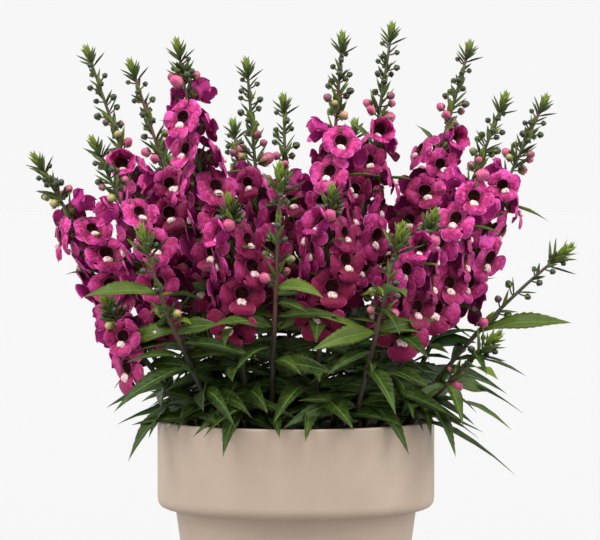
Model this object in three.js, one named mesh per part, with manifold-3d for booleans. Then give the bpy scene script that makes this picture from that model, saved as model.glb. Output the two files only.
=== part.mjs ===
// A potted angelonia: a bushy bedding plant with upright spikes of two-lipped magenta flowers,
// standing in a tapered plastic pot with a deep collar. Millimetres, +Z up. The origin is the
// centre of the pot's flat base, +X is to the right and -Y is the front, as the plant is seen.

import * as THREE from "three";
import { mergeVertices } from "three/addons/utils/BufferGeometryUtils.js";
import Module from "manifold-3d";

const wasm = await Module();
wasm.setup();

// Pot
const POT_HEIGHT = 132.5;
const POT_SIDES = 32;
const COLLAR_RADIUS = 75;
const COLLAR_HEIGHT = 47.5;
const COLLAR_CORNER = 5;
const CORNER_MIDDLE = 0.3;
const BODY_TOP_RADIUS = 65.3;
const BASE_RADIUS = 53.5;
const WALL = 3;
const FLOOR = 3.5;
const DRAIN_HOLES = 5;
const DRAIN_RADIUS = 4.5;
const DRAIN_CIRCLE = 34;
const DRAIN_SIDES = 8;

// Potting mix
const SOIL_TOP = POT_HEIGHT - 6;
const SOIL_SIDES = 24;

// Room that solids keep from each other, and the furthest that a sharp edge's room reaches
const GAP = 0.3;
const EDGE_GAP = 1.8;
const HULL_ROUNDS = 200;
const WELD = 0.001;

// Stems
const STEM_SIDES = 3;
const STEM_STEPS = 4;
const STEM_FOOT_RADIUS = 2;
const STEM_TIP_RADIUS = 0.8;
const STEM_END = 9;
const SUNK = 16;
const FOOT_SHARE = 0.34;
const LEAN = [0.3, 0.66];
const GOLDEN_TURN = 137.5;

// Leaves
const LEAF_LENGTH = 62;
const LEAF_WIDTH = 13;
const LEAF_THICK = 1;
const LOW_LEAF_HEIGHT = 16;
const TOP_LEAF_HEIGHT = 120;
const BELOW_BLOOMS = 0.03;
const LEAF_TURN = 16;
const INWARD_LEAF = 0.68;
const TURNED_OUT = 0.8;
const TURNED_FRONT = 0.5;
const TOOTHED_BELOW = 0.55;
const TOOTHED_OUTWARD = 0.4;
const SIMPLE_INWARD = -0.3;

// How a leaf goes from the lowest to the highest: its length against the usual, how steeply it
// leaves the stem, and how far its tip sags as a share of its length. They also swing from leaf to
// leaf, and a leaf that would meet the pot is raised in small steps until it passes over the rim.
const LEAF_SPAN = [1, 0.5];
const LEAF_LIFT = [-0.3, 0.7];
const LEAF_SAG = [0.5, 0.1];
const LENGTH_SWING = 0.12;
const LIFT_SWING = 0.22;
const SAG_SWING = 0.4;
const POT_ROOM = 3;
const POT_RAISE = 0.08;
const MOST_RAISES = 14;
const CHECKED_SHARES = [0.3, 0.45, 0.6, 0.75, 0.9, 1];

// Flowers
const BLOOM_RADIUS = 14.2;
const BLOOM_REACH = 14.5;
const BLOOM_RISE = 3.5;
const THROAT_DEPTH = 2.5;
const SAC_RADIUS = 5.4;
const SAC_DEPTH = 4.6;
const SAC_TURN = 24;
const LOBES = 5;
const LOBE_SPREAD = 21;
const LOBE_TILT = [2.5, 0.6, -1.5, -1.5, 0.6];
const NOTCH = 0.6;
const CORE_RADIUS = 3.4;
const CORE_END = 0.015;
const BLOOM_ROOT = 1.5;
const BLOOM_TURN = 10;
const HIGHEST_BLOOM = 0.82;
const FACE_LIFT = 0.14;
const FACE_SWING = 0.3;

// Buds and the tuft of bracts at a tip
const BUD_RADIUS = 2.6;
const BUD_LENGTH = 11;
const BUD_LIFT = 0.4;
const HIGHEST_BUD = 0.62;
const ABOVE_BLOOMS = 0.04;
const LOWEST_BUD_AT = 0.62;
const HIGHEST_BUD_AT = 0.92;
const TUFT_LENGTH = 17;
const TUFT_RADIUS = 5.5;
const TUFT_SUNK = 13;
const TUFT_BRACTS = 5;
const TUFT_SHOULDER = 0.7;
const TUFT_NOTCH = 0.5;
const TUFT_NOTCH_RADIUS = 0.3;

// Each shoot: its tip (x, y, z), the turn of its first leaf pair in degrees, its leaf pairs, its
// flowers with the stretch of stem that they cover (0 at the foot, 1 at the tip), and its buds.
// Where they aren't the usual ones, also its foot (x, y), the share of its sideways travel that is
// done at a third and at two thirds of its height (lean), how far up its highest leaves are (top),
// and the size of its leaves against the usual (leaf). The front ones come first.
const SHOOTS = [
  {
    name: "front_left", tip: [-35, -62, 253], foot: [-24, -26],
    turn: 262, pairs: 5, blooms: 6, from: 0.54, to: 0.85, buds: 3,
  },
  {
    name: "front_mid", tip: [-8, -74, 269], foot: [-14, -34], lean: [0.3, 0.7],
    turn: 215, pairs: 4, buds: 5, top: 0.6,
  },
  {
    name: "front_right", tip: [73, -58, 245],
    turn: 300, pairs: 5, blooms: 6, from: 0.54, to: 0.85, buds: 3,
  },
  {
    name: "front_young_right", tip: [55, -82, 238], foot: [26, -36],
    turn: 25, pairs: 4, buds: 4, top: 0.72,
  },
  {
    name: "front_young_left", tip: [-80, -66, 237], foot: [-30, -30], lean: [0.4, 0.85],
    turn: 314, pairs: 4, buds: 3, top: 0.72,
  },
  {
    name: "front_centre", tip: [19, -56, 258], foot: [8, -32],
    turn: 268, pairs: 5, blooms: 6, from: 0.54, to: 0.85, buds: 3,
  },
  {
    name: "left_droop", tip: [-102, -34, 200], foot: [-42, -18], lean: [0.3, 0.72],
    turn: 235, pairs: 2, blooms: 3, from: 0.62, to: 0.8, buds: 3, leaf: 0.8,
  },
  {
    name: "right_lateral", tip: [148, -10, 226], foot: [46, -6], lean: [0.24, 0.52],
    turn: 254, pairs: 2, buds: 4, top: 0.6, leaf: 1.15,
  },
  {
    name: "right_leafy", tip: [108, -32, 180], foot: [42, -22], lean: [0.3, 0.62],
    turn: 300, pairs: 3, buds: 3, top: 0.75, leaf: 0.75,
  },
  {
    name: "left_low", tip: [-141, -8, 275], foot: [-46, -4],
    turn: 245, pairs: 2, blooms: 7, from: 0.48, to: 0.8, buds: 5, leaf: 0.7,
  },
  {
    name: "left_tall", tip: [-116, 40, 335],
    turn: 140, pairs: 2, blooms: 7, from: 0.4, to: 0.7, buds: 6, leaf: 0.8,
  },
  {
    name: "left_mid", tip: [-90, 8, 326], foot: [-30, 3], lean: [0.28, 0.6],
    turn: 60, pairs: 3, blooms: 7, from: 0.42, to: 0.7, buds: 6,
  },
  {
    name: "left_side", tip: [-107, -46, 283], foot: [-33, -16],
    turn: 250, pairs: 3, blooms: 6, from: 0.45, to: 0.78, buds: 4, leaf: 0.85,
  },
  {
    name: "left_spike", tip: [-63, -34, 335], lean: [0.33, 0.7],
    turn: 240, pairs: 3, blooms: 10, from: 0.42, to: 0.86, buds: 5,
  },
  {
    name: "mid_left", tip: [-27, 14, 327],
    turn: 20, pairs: 3, blooms: 7, from: 0.42, to: 0.7, buds: 6,
  },
  {
    name: "mid_back", tip: [-7, 60, 309],
    turn: 90, pairs: 2, blooms: 6, from: 0.42, to: 0.74, buds: 4,
  },
  {
    name: "mid_right", tip: [25, -8, 340],
    turn: 300, pairs: 4, blooms: 8, from: 0.42, to: 0.76, buds: 6,
  },
  {
    name: "right_tall", tip: [53, 28, 347],
    turn: 40, pairs: 3, blooms: 8, from: 0.4, to: 0.74, buds: 6,
  },
  {
    name: "right_back", tip: [97, 48, 338],
    turn: 70, pairs: 2, blooms: 8, from: 0.42, to: 0.76, buds: 5, leaf: 0.8,
  },
  {
    name: "right_mid", tip: [112, -22, 307],
    turn: 300, pairs: 4, blooms: 8, from: 0.42, to: 0.74, buds: 6, leaf: 0.9,
  },
  {
    name: "right_side", tip: [137, 20, 307],
    turn: 45, pairs: 2, blooms: 7, from: 0.45, to: 0.76, buds: 6, leaf: 0.7,
  },
  {
    name: "back_left", tip: [-77, 84, 285],
    turn: 130, pairs: 2, blooms: 6, from: 0.44, to: 0.82, buds: 3, leaf: 0.8,
  },
  {
    name: "back_mid_left", tip: [-36, 98, 296],
    turn: 110, pairs: 2, blooms: 6, from: 0.44, to: 0.82, buds: 3,
  },
  {
    name: "back_mid_right", tip: [34, 98, 296],
    turn: 80, pairs: 2, blooms: 6, from: 0.44, to: 0.82, buds: 3,
  },
  {
    name: "back_right", tip: [84, 92, 285],
    turn: 50, pairs: 2, blooms: 6, from: 0.44, to: 0.82, buds: 3, leaf: 0.8,
  },
];

const LEAF_GREEN = 0x3d6424;
const MAGENTA = 0xb01e7c;
const CREAM = 0xcdbba6;
const SOIL_BROWN = 0x2a1d14;

const UP = new THREE.Vector3(0, 0, 1);
const RIGHT = new THREE.Vector3(1, 0, 0);
const FRONT = new THREE.Vector3(0, -1, 0);
const radians = THREE.MathUtils.degToRad;
const vector = (x, y, z) => new THREE.Vector3(x, y, z);
const mix = (a, b, share) => a + (b - a) * share;

// A number from -1 to 1 that is spread evenly over a run of repeats, with a row of its own for
// each use.
const GOLDEN_SHARE = 0.6180339887;
const ROW_SHARE = 0.7548776662;
const spread = (count, row) => 2 * (((count + 1) * GOLDEN_SHARE + row * ROW_SHARE) % 1) - 1;

// The point that each move, a direction and an amount, leads to from `start`.
function offset(start, ...moves) {
  const point = start.clone();
  for (const [direction, amount] of moves) point.addScaledVector(direction, amount);
  return point;
}

// Solids from meshes, and meshes from solids

// The triangles between two loops of points, either of which may be a single point.
function stitch(firstA, countA, firstB, countB) {
  const triangles = [];
  let a = 0;
  let b = 0;
  while ((countA > 1 && a < countA) || (countB > 1 && b < countB)) {
    const nextA = countA > 1 ? (a + 1) / countA : Infinity;
    const nextB = countB > 1 ? (b + 1) / countB : Infinity;
    const atA = firstA + (a % countA);
    const atB = firstB + (b % countB);
    if (nextA <= nextB) triangles.push(atA, atB, firstA + (++a % countA));
    else triangles.push(atA, atB, firstB + (++b % countB));
  }
  return triangles;
}

// A closed skin over loops of points that begin and end in a single point.
function skin(loops) {
  const index = [];
  let first = 0;
  for (let k = 1; k < loops.length; k++) {
    const next = first + loops[k - 1].length;
    index.push(...stitch(first, loops[k - 1].length, next, loops[k].length));
    first = next;
  }
  const points = loops.flat().flatMap((p) => p.toArray());
  const geometry = new THREE.BufferGeometry();
  geometry.setAttribute("position", new THREE.Float32BufferAttribute(points, 3));
  geometry.setIndex(index);
  return geometry;
}

// A geometry's corners and faces. Corners are set to whole steps of WELD, the shared ones merged
// and the faces turned outwards.
function surfaceOf(geometry) {
  const steps = Array.from(geometry.getAttribute("position").array, (value) => Math.round(value / WELD));
  const bare = new THREE.BufferGeometry();
  bare.setAttribute("position", new THREE.Float32BufferAttribute(steps.map((step) => step * WELD), 3));
  bare.setIndex(geometry.getIndex());
  const merged = mergeVertices(bare, WELD / 10);
  const points = merged.getAttribute("position").array;
  const index = new Uint32Array(merged.getIndex().array);
  const corners = Array.from({ length: points.length / 3 }, (_, i) => vector().fromArray(points, 3 * i));
  let volume = 0;
  for (let i = 0; i < index.length; i += 3) {
    const [a, b, c] = [0, 1, 2].map((k) => corners[index[i + k]]);
    volume += a.dot(b.clone().cross(c));
  }
  if (volume < 0) index.reverse();
  return { corners, index };
}

function solidFrom({ corners, index }) {
  const vertProperties = Float32Array.from(corners.flatMap((corner) => corner.toArray()));
  return new wasm.Manifold(new wasm.Mesh({ numProp: 3, vertProperties, triVerts: index }));
}

const solidOf = (geometry) => solidFrom(surfaceOf(geometry));

// The shortest move that takes a corner GAP clear of all its faces. It points at the spot nearest
// to zero in the hull of their normals, which each round steps towards, and sharp corners stop at
// EDGE_GAP.
function clearance(normals) {
  const spot = offset(vector(0, 0, 0), ...normals.map((normal) => [normal, 1 / normals.length]));
  for (let round = 0; round < HULL_ROUNDS; round++) {
    const furthest = normals.reduce((best, normal) => (normal.dot(spot) < best.dot(spot) ? normal : best));
    const step = furthest.clone().sub(spot);
    const share = THREE.MathUtils.clamp(-spot.dot(step) / step.lengthSq(), 0, 1);
    if (!(share > 0)) break;
    spot.addScaledVector(step, share);
  }
  return spot.setLength(Math.min(GAP / spot.length(), EDGE_GAP));
}

// The room that a piece takes from its neighbours: its surface with each corner moved outwards.
function roomOf(geometry) {
  const { corners, index } = surfaceOf(geometry);
  const normals = corners.map(() => []);
  for (let i = 0; i < index.length; i += 3) {
    const face = [0, 1, 2].map((k) => index[i + k]);
    const [a, b, c] = face.map((k) => corners[k]);
    const normal = new THREE.Triangle(a, b, c).getNormal(vector());
    face.forEach((k) => normals[k].push(normal));
  }
  return solidFrom({ corners: corners.map((corner, i) => corner.add(clearance(normals[i]))), index });
}

function geometryOf(solid) {
  const { vertProperties, triVerts } = solid.getMesh();
  const geometry = new THREE.BufferGeometry();
  geometry.setAttribute("position", new THREE.BufferAttribute(vertProperties, 3));
  geometry.setIndex(new THREE.BufferAttribute(triVerts, 1));
  return geometry.toNonIndexed();
}

const join = (solids) => (solids.length ? solids.reduce((whole, next) => whole.add(next)) : null);

function boxesMeet(a, b) {
  const [p, q] = [a.boundingBox(), b.boundingBox()];
  return [0, 1, 2].every((k) => p.min[k] < q.max[k] && q.min[k] < p.max[k]);
}

const cut = (solid, tools) =>
  tools.filter((tool) => boxesMeet(solid, tool)).reduce((left, tool) => left.subtract(tool), solid);

// The largest body of a cut solid, once corners that the cuts left closer than WELD are merged.
// What a neighbour has cut off is left out.
const largestBody = (solid) =>
  solidOf(geometryOf(solid))
    .decompose()
    .reduce((best, next) => (next.volume() > best.volume() ? next : best));

// Stems

// A shoot's stem as a curve, with the directions square to it that leaves and flowers turn round.
function stemOf(shoot) {
  const tip = vector(...shoot.tip);
  const [x, y] = shoot.foot ?? [tip.x * FOOT_SHARE, tip.y * FOOT_SHARE];
  const foot = vector(x, y, SOIL_TOP - SUNK);
  const [low, high] = (shoot.lean ?? LEAN).map((share, k) =>
    vector(mix(foot.x, tip.x, share), mix(foot.y, tip.y, share), mix(foot.z, tip.z, (k + 1) / 3)),
  );
  const curve = new THREE.CubicBezierCurve3(foot, low, high, tip);
  const height = tip.z - foot.z;
  return {
    height,
    outward: vector(tip.x, tip.y, 0).normalize(),
    at(share) {
      const along = curve.getTangent(share);
      const across = offset(RIGHT, [along, -RIGHT.dot(along)]).normalize();
      return { point: curve.getPoint(share), along, across, depth: along.clone().cross(across) };
    },
    belowTip: (distance) => 1 - distance / (3 * high.distanceTo(tip)),
  };
}

// The direction square to a stem that is turned by `degrees` round it.
function towards(place, degrees) {
  const angle = radians(degrees);
  return offset(vector(0, 0, 0), [place.across, Math.cos(angle)], [place.depth, Math.sin(angle)]);
}

// A cylinder bent onto a stretch of a stem.
function rodAlong(stem, from, to, radiusFrom, radiusTo, steps) {
  const rod = new THREE.CylinderGeometry(radiusTo, radiusFrom, 1, STEM_SIDES, steps);
  const corners = rod.getAttribute("position");
  for (let i = 0; i < corners.count; i++) {
    const place = stem.at(mix(from, to, corners.getY(i) + 0.5));
    const corner = offset(place.point, [place.across, corners.getX(i)], [place.depth, corners.getZ(i)]);
    corners.setXYZ(i, ...corner.toArray());
  }
  return rod;
}

const stemRod = (stem) =>
  rodAlong(stem, 0, stem.belowTip(STEM_END), STEM_FOOT_RADIUS, STEM_TIP_RADIUS, STEM_STEPS);

// Leaves and buds

// The width of a leaf at shares of its length, as parts of its full width: a narrow stalk, a blade
// cut into forward teeth, and a drawn-out point. Leaves high up or at the sides have no teeth, and
// those that face into the bush are plain points. A bud on its stalk is the same with one full step
// near its end.
const TOOTHED_LEAF = [[0.3, 0.98], [0.37, 0.8], [0.58, 0.94], [0.66, 0.64]];
const PLAIN_LEAF = [[0.36, 1], [0.7, 0.68]];
const INWARD_BLADE = [[0.42, 1]];
const BUD = [[0.78, 1]];
const THIN_PART = 0.6;

// The middle line of a blade that leaves `root` along `along` and sags by `sag` of its length at
// its tip.
const bentLine = (root, along, length, sag) => (share) =>
  offset(root, [along, length * share], [UP, -sag * length * share ** 2]);

// A three-sided blade about such a line, its keel away from `facing`.
function blade({ root, along, length, width, thick, sag = 0, steps, facing = UP }) {
  const side = along.clone().cross(facing).normalize();
  const pointAt = bentLine(root, along, length, sag);
  const loops = steps.map(([share, part]) => {
    const heading = offset(along, [UP, -2 * sag * share]).normalize();
    const face = side.clone().cross(heading).normalize();
    const half = (width * part) / 2;
    const deep = (thick * Math.max(part, THIN_PART)) / 2;
    const middle = pointAt(share);
    const top = offset(middle, [face, deep]);
    return [offset(top, [side, -half]), offset(top, [side, half]), offset(middle, [face, -deep])];
  });
  return skin([[root], ...loops, [pointAt(1)]]);
}

function meetsPot(point) {
  const radius = Math.hypot(point.x, point.y);
  const height = radius < COLLAR_RADIUS - WALL - POT_ROOM ? SOIL_TOP : POT_HEIGHT;
  return radius < COLLAR_RADIUS + POT_ROOM && point.z < height + POT_ROOM;
}

// The direction in which a leaf leaves `root`, raised until its middle line is clear of the pot.
function overRim(root, along, length, sag) {
  let way = along.clone().normalize();
  for (let raise = 0; raise < MOST_RAISES; raise++) {
    if (!CHECKED_SHARES.map(bentLine(root, way, length, sag)).some(meetsPot)) break;
    way = offset(way, [UP, POT_RAISE]).normalize();
  }
  return way;
}

function bladeSteps(rise, outward) {
  if (outward < SIMPLE_INWARD) return INWARD_BLADE;
  return rise < TOOTHED_BELOW && outward > TOOTHED_OUTWARD ? TOOTHED_LEAF : PLAIN_LEAF;
}

// The leaf pairs of a shoot. Low leaves are long and hang over the rim, high ones are short and
// stand, and those that face out of the bush are longer than those that face into it.
function leavesOf(shoot, stem) {
  const lowest = (SUNK + LOW_LEAF_HEIGHT) / stem.height;
  const highest = shoot.top ?? shoot.from - BELOW_BLOOMS;
  return Array.from({ length: 2 * shoot.pairs }, (_, k) => {
    const pair = Math.floor(k / 2);
    const share = shoot.pairs > 1 ? mix(lowest, highest, pair / (shoot.pairs - 1)) : highest;
    const place = stem.at(share);
    const turn = shoot.turn + 90 * pair + 180 * (k % 2) + LEAF_TURN * spread(k, 1);
    const out = towards(place, turn);
    const level = vector(out.x, out.y, 0).normalize();
    const outward = level.dot(stem.outward);
    const rise = Math.min((share * stem.height - SUNK) / TOP_LEAF_HEIGHT, 1);
    const usual = (shoot.leaf ?? 1) * LEAF_LENGTH * mix(...LEAF_SPAN, rise);
    const length = usual * mix(INWARD_LEAF, 1, (outward + 1) / 2) * (1 + LENGTH_SWING * spread(k, 10));
    const lift = mix(...LEAF_LIFT, rise) + LIFT_SWING * spread(k, 12);
    const sag = mix(...LEAF_SAG, rise) * (1 + SAG_SWING * spread(k, 11));
    return {
      root: place.point,
      along: overRim(place.point, offset(level, [UP, lift]), length, sag),
      facing: offset(UP, [stem.outward, TURNED_OUT], [FRONT, TURNED_FRONT]).normalize(),
      length,
      width: LEAF_WIDTH * Math.sqrt(length / LEAF_LENGTH),
      thick: LEAF_THICK,
      sag,
      steps: bladeSteps(rise, outward),
    };
  });
}

// The buds above the flowers, each on its stalk in the angle of a bract, smaller towards the tip.
function budsOf(shoot, stem) {
  const start = shoot.blooms ? shoot.to + ABOVE_BLOOMS : LOWEST_BUD_AT;
  return Array.from({ length: shoot.buds }, (_, k) => {
    const age = (shoot.buds - k) / shoot.buds;
    const size = mix(HIGHEST_BUD, 1, age);
    const place = stem.at(mix(start, HIGHEST_BUD_AT, k / shoot.buds));
    const out = towards(place, shoot.turn + GOLDEN_TURN * k);
    return {
      root: place.point,
      along: offset(out, [place.along, BUD_LIFT]).normalize(),
      length: BUD_LENGTH * size,
      width: 2 * BUD_RADIUS * size,
      thick: 2 * BUD_RADIUS * size,
      steps: BUD,
    };
  });
}

// The pointed bracts that stand round the growing tip, as one crown.
function tuft(stem) {
  const { point, across, depth, along } = stem.at(1);
  const crown = Array.from({ length: 2 * TUFT_BRACTS }, (_, k) => {
    const angle = (Math.PI * k) / TUFT_BRACTS;
    const radius = TUFT_RADIUS * (k % 2 ? TUFT_NOTCH_RADIUS : 1);
    const rise = TUFT_LENGTH * (k % 2 ? TUFT_NOTCH : TUFT_SHOULDER);
    return offset(
      point,
      [across, radius * Math.cos(angle)],
      [depth, radius * Math.sin(angle)],
      [along, rise - TUFT_SUNK],
    );
  });
  const foot = offset(point, [along, -TUFT_SUNK]);
  return skin([[foot], crown, [offset(point, [along, TUFT_LENGTH - TUFT_SUNK])]]);
}

// Flowers

// One flower: five round lobes about a throat, whose sac narrows into the stalk at `root`. The rim
// goes notch, side, side for each lobe, and the first lobe is the lip at the bottom.
function bloom({ root, centre, face, size }) {
  const upright = offset(UP, [face, -UP.dot(face)]).normalize();
  const aside = upright.clone().cross(face);
  const around = (degrees, radius, depth) =>
    offset(
      centre,
      [aside, radius * Math.cos(radians(degrees))],
      [upright, radius * Math.sin(radians(degrees))],
      [face, depth],
    );
  const lobe = BLOOM_RADIUS * size;
  const rim = LOBE_TILT.flatMap((tilt, k) => {
    const middle = 270 + (360 / LOBES) * k;
    return [
      around(middle - 180 / LOBES, lobe * NOTCH, 0),
      around(middle - LOBE_SPREAD, lobe, tilt * size),
      around(middle + LOBE_SPREAD, lobe, tilt * size),
    ];
  });
  const sac = [0, 1, 2].map((k) => around(270 + SAC_TURN + 120 * k, SAC_RADIUS * size, -SAC_DEPTH * size));
  return skin([[around(0, 0, -THROAT_DEPTH * size)], rim, sac, [root]]);
}

// The flowers of a spike wind up its stem, smaller and closer in towards the buds.
function bloomsOf(shoot, stem) {
  return Array.from({ length: shoot.blooms ?? 0 }, (_, k) => {
    const rise = k / (shoot.blooms - 1);
    const place = stem.at(mix(shoot.from, shoot.to, rise));
    const out = towards(place, shoot.turn + GOLDEN_TURN * k + BLOOM_TURN * spread(k, 2));
    const size = mix(1, HIGHEST_BLOOM, rise);
    return {
      root: offset(place.point, [out, BLOOM_ROOT]),
      centre: offset(place.point, [out, BLOOM_REACH * size], [place.along, BLOOM_RISE]),
      face: offset(out, [UP, FACE_LIFT + FACE_SWING * spread(k, 3)]).normalize(),
      size,
    };
  });
}

// The slim core round the stem that a spike's flowers are sunk into.
const coreOf = (shoot, stem) =>
  rodAlong(stem, shoot.from - CORE_END, shoot.to + CORE_END, CORE_RADIUS, CORE_RADIUS, 2);

// Pot and soil

const collarFoot = POT_HEIGHT - COLLAR_HEIGHT;

// A closed outline of [radius, height] points, turned about the pot's axis.
function turned(outline, sides) {
  const lathe = new THREE.LatheGeometry(outline.map(([r, z]) => new THREE.Vector2(r, z)), sides);
  return lathe.rotateX(Math.PI / 2);
}

// The pot from the middle of its floor up the inside, over the rim and down the outside.
const potShape = () =>
  turned(
    [
      [0, FLOOR],
      [BASE_RADIUS - WALL, FLOOR],
      [BODY_TOP_RADIUS - WALL, collarFoot],
      [COLLAR_RADIUS - WALL, POT_HEIGHT],
      [COLLAR_RADIUS, POT_HEIGHT],
      [COLLAR_RADIUS, collarFoot + COLLAR_CORNER],
      [COLLAR_RADIUS - COLLAR_CORNER * CORNER_MIDDLE, collarFoot + COLLAR_CORNER * CORNER_MIDDLE],
      [COLLAR_RADIUS - COLLAR_CORNER, collarFoot],
      [BODY_TOP_RADIUS, collarFoot],
      [BASE_RADIUS, 0],
      [0, 0],
    ],
    POT_SIDES,
  );

const drainHoles = () =>
  Array.from({ length: DRAIN_HOLES }, (_, k) => {
    const angle = (2 * Math.PI * (k + 0.5)) / DRAIN_HOLES;
    const hole = new THREE.CylinderGeometry(DRAIN_RADIUS, DRAIN_RADIUS, 4 * FLOOR, DRAIN_SIDES);
    hole.rotateX(Math.PI / 2);
    return solidOf(hole.translate(DRAIN_CIRCLE * Math.cos(angle), DRAIN_CIRCLE * Math.sin(angle), 0));
  });

// The potting mix fills the pot to just under its rim.
function soilShape() {
  const top = mix(BODY_TOP_RADIUS, COLLAR_RADIUS, (SOIL_TOP - collarFoot) / COLLAR_HEIGHT);
  const inside = WALL + 2 * GAP;
  return turned(
    [
      [0, FLOOR + GAP],
      [BASE_RADIUS - inside, FLOOR + GAP],
      [BODY_TOP_RADIUS - inside, collarFoot],
      [top - inside, SOIL_TOP],
      [0, SOIL_TOP],
    ],
    SOIL_SIDES,
  );
}

// Assembly

const plants = SHOOTS.map((shoot) => {
  const stem = stemOf(shoot);
  const rod = stemRod(stem);
  const greens = [tuft(stem), ...[...leavesOf(shoot, stem), ...budsOf(shoot, stem)].map(blade)];
  const flowers = shoot.blooms ? [coreOf(shoot, stem), ...bloomsOf(shoot, stem).map(bloom)] : [];
  return {
    name: shoot.name,
    stem: solidOf(rod),
    stemRoom: roomOf(rod),
    greens: join(greens.map(solidOf)),
    greensRoom: join(greens.map(roomOf)),
    flowers: join(flowers.map(solidOf)),
    flowersRoom: join(flowers.map(roomOf)),
  };
});

const angelonia = new THREE.Group();

function addPart(name, solid, color, roughness) {
  const material = new THREE.MeshStandardMaterial({ color, roughness, metalness: 0, flatShading: true });
  const mesh = new THREE.Mesh(geometryOf(largestBody(solid)), material);
  mesh.name = name;
  angelonia.add(mesh);
}

// Stems stay whole, flowers make way for stems, and leaves and buds make way for both.
const stemRooms = plants.map((plant) => plant.stemRoom);
const flowering = plants.filter((plant) => plant.flowers);
const fixedRooms = [potShape(), soilShape()].map(roomOf);

addPart("pot", cut(solidOf(potShape()), drainHoles()), CREAM, 0.55);
addPart("soil", cut(solidOf(soilShape()), stemRooms), SOIL_BROWN, 0.95);

flowering.forEach((plant, k) => {
  const earlier = flowering.slice(0, k).map((other) => other.flowersRoom);
  addPart(`${plant.name}_flowers`, cut(plant.flowers, [...stemRooms, ...earlier]), MAGENTA, 0.5);
});

plants.forEach((plant, k) => {
  const otherStems = stemRooms.filter((_, other) => other !== k);
  const flowerRooms = flowering.map((other) => other.flowersRoom);
  const earlier = plants.slice(0, k).map((other) => other.greensRoom);
  const greens = cut(plant.greens, [...fixedRooms, ...otherStems, ...flowerRooms, ...earlier]);
  addPart(`${plant.name}_shoot`, plant.stem.add(greens), LEAF_GREEN, 0.5);
});

export default angelonia;
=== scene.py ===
import math

import bmesh
import bpy
from mathutils import Matrix, Vector


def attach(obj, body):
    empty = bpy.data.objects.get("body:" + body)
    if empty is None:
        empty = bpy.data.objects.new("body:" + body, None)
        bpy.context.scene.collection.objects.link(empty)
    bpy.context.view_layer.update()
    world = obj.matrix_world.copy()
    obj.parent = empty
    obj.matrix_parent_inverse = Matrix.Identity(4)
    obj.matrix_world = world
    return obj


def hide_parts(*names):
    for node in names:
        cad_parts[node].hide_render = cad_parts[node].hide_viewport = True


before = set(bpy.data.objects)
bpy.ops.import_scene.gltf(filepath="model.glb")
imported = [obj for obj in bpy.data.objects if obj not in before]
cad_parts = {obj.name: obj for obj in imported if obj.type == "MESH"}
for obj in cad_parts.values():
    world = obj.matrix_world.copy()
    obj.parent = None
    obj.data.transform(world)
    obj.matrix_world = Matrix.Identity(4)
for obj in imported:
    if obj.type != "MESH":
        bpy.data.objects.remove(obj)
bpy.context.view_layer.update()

# Camera. A long lens looks at the flowers from just above their middle, so the pot's rim shows as a
# nearly straight line and the pot runs out of the picture below its collar.

MM = 0.001
CAMERA_PLACE = (0.0022, -1.65, 0.2524)
CAMERA_TILT = math.radians(88.646)
SENSOR = 36.0
PIXELS_WIDE = 600
FOCAL_PIXELS = 3047

lens = bpy.data.cameras.new("camera")
lens.sensor_width = SENSOR
lens.lens = SENSOR * FOCAL_PIXELS / PIXELS_WIDE
camera = bpy.data.objects.new("camera", lens)
camera.location = CAMERA_PLACE
camera.rotation_euler = (CAMERA_TILT, 0, 0)
bpy.context.collection.objects.link(camera)
bpy.context.scene.camera = camera
bpy.context.scene.view_settings.view_transform = "Standard"

# Pot. A moulded pot of matte beige plastic with a deep collar, rounded where the collar ends, a
# tapered body and five drain holes through its floor.

POT_HEIGHT = 132.5
COLLAR_RADIUS = 75
COLLAR_HEIGHT = 47.5
BODY_TOP_RADIUS = 65.3
BASE_RADIUS = 53.5
WALL = 3
FLOOR = 3.5
COLLAR_FOOT = POT_HEIGHT - COLLAR_HEIGHT
DRAIN_HOLES = 5
DRAIN_RADIUS = 4.5
DRAIN_CIRCLE = 34
FLOOR_ROUNDING = 3
BODY_ROUNDING = 4
COLLAR_ROUNDING = 6
UNDERCUT_ROUNDING = 1.2
RIM_ROUNDING = (1.2, 1.4)
BASE_ROUNDING = 2.5
POT_SIDES = 128
ARC_STEPS = 5
DRILL_SIDES = 32
BEIGE = (152, 134, 118)
PALE_BEIGE = (159, 142, 126)
BEIGE_GRAIN = (132, 113, 95)


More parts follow.
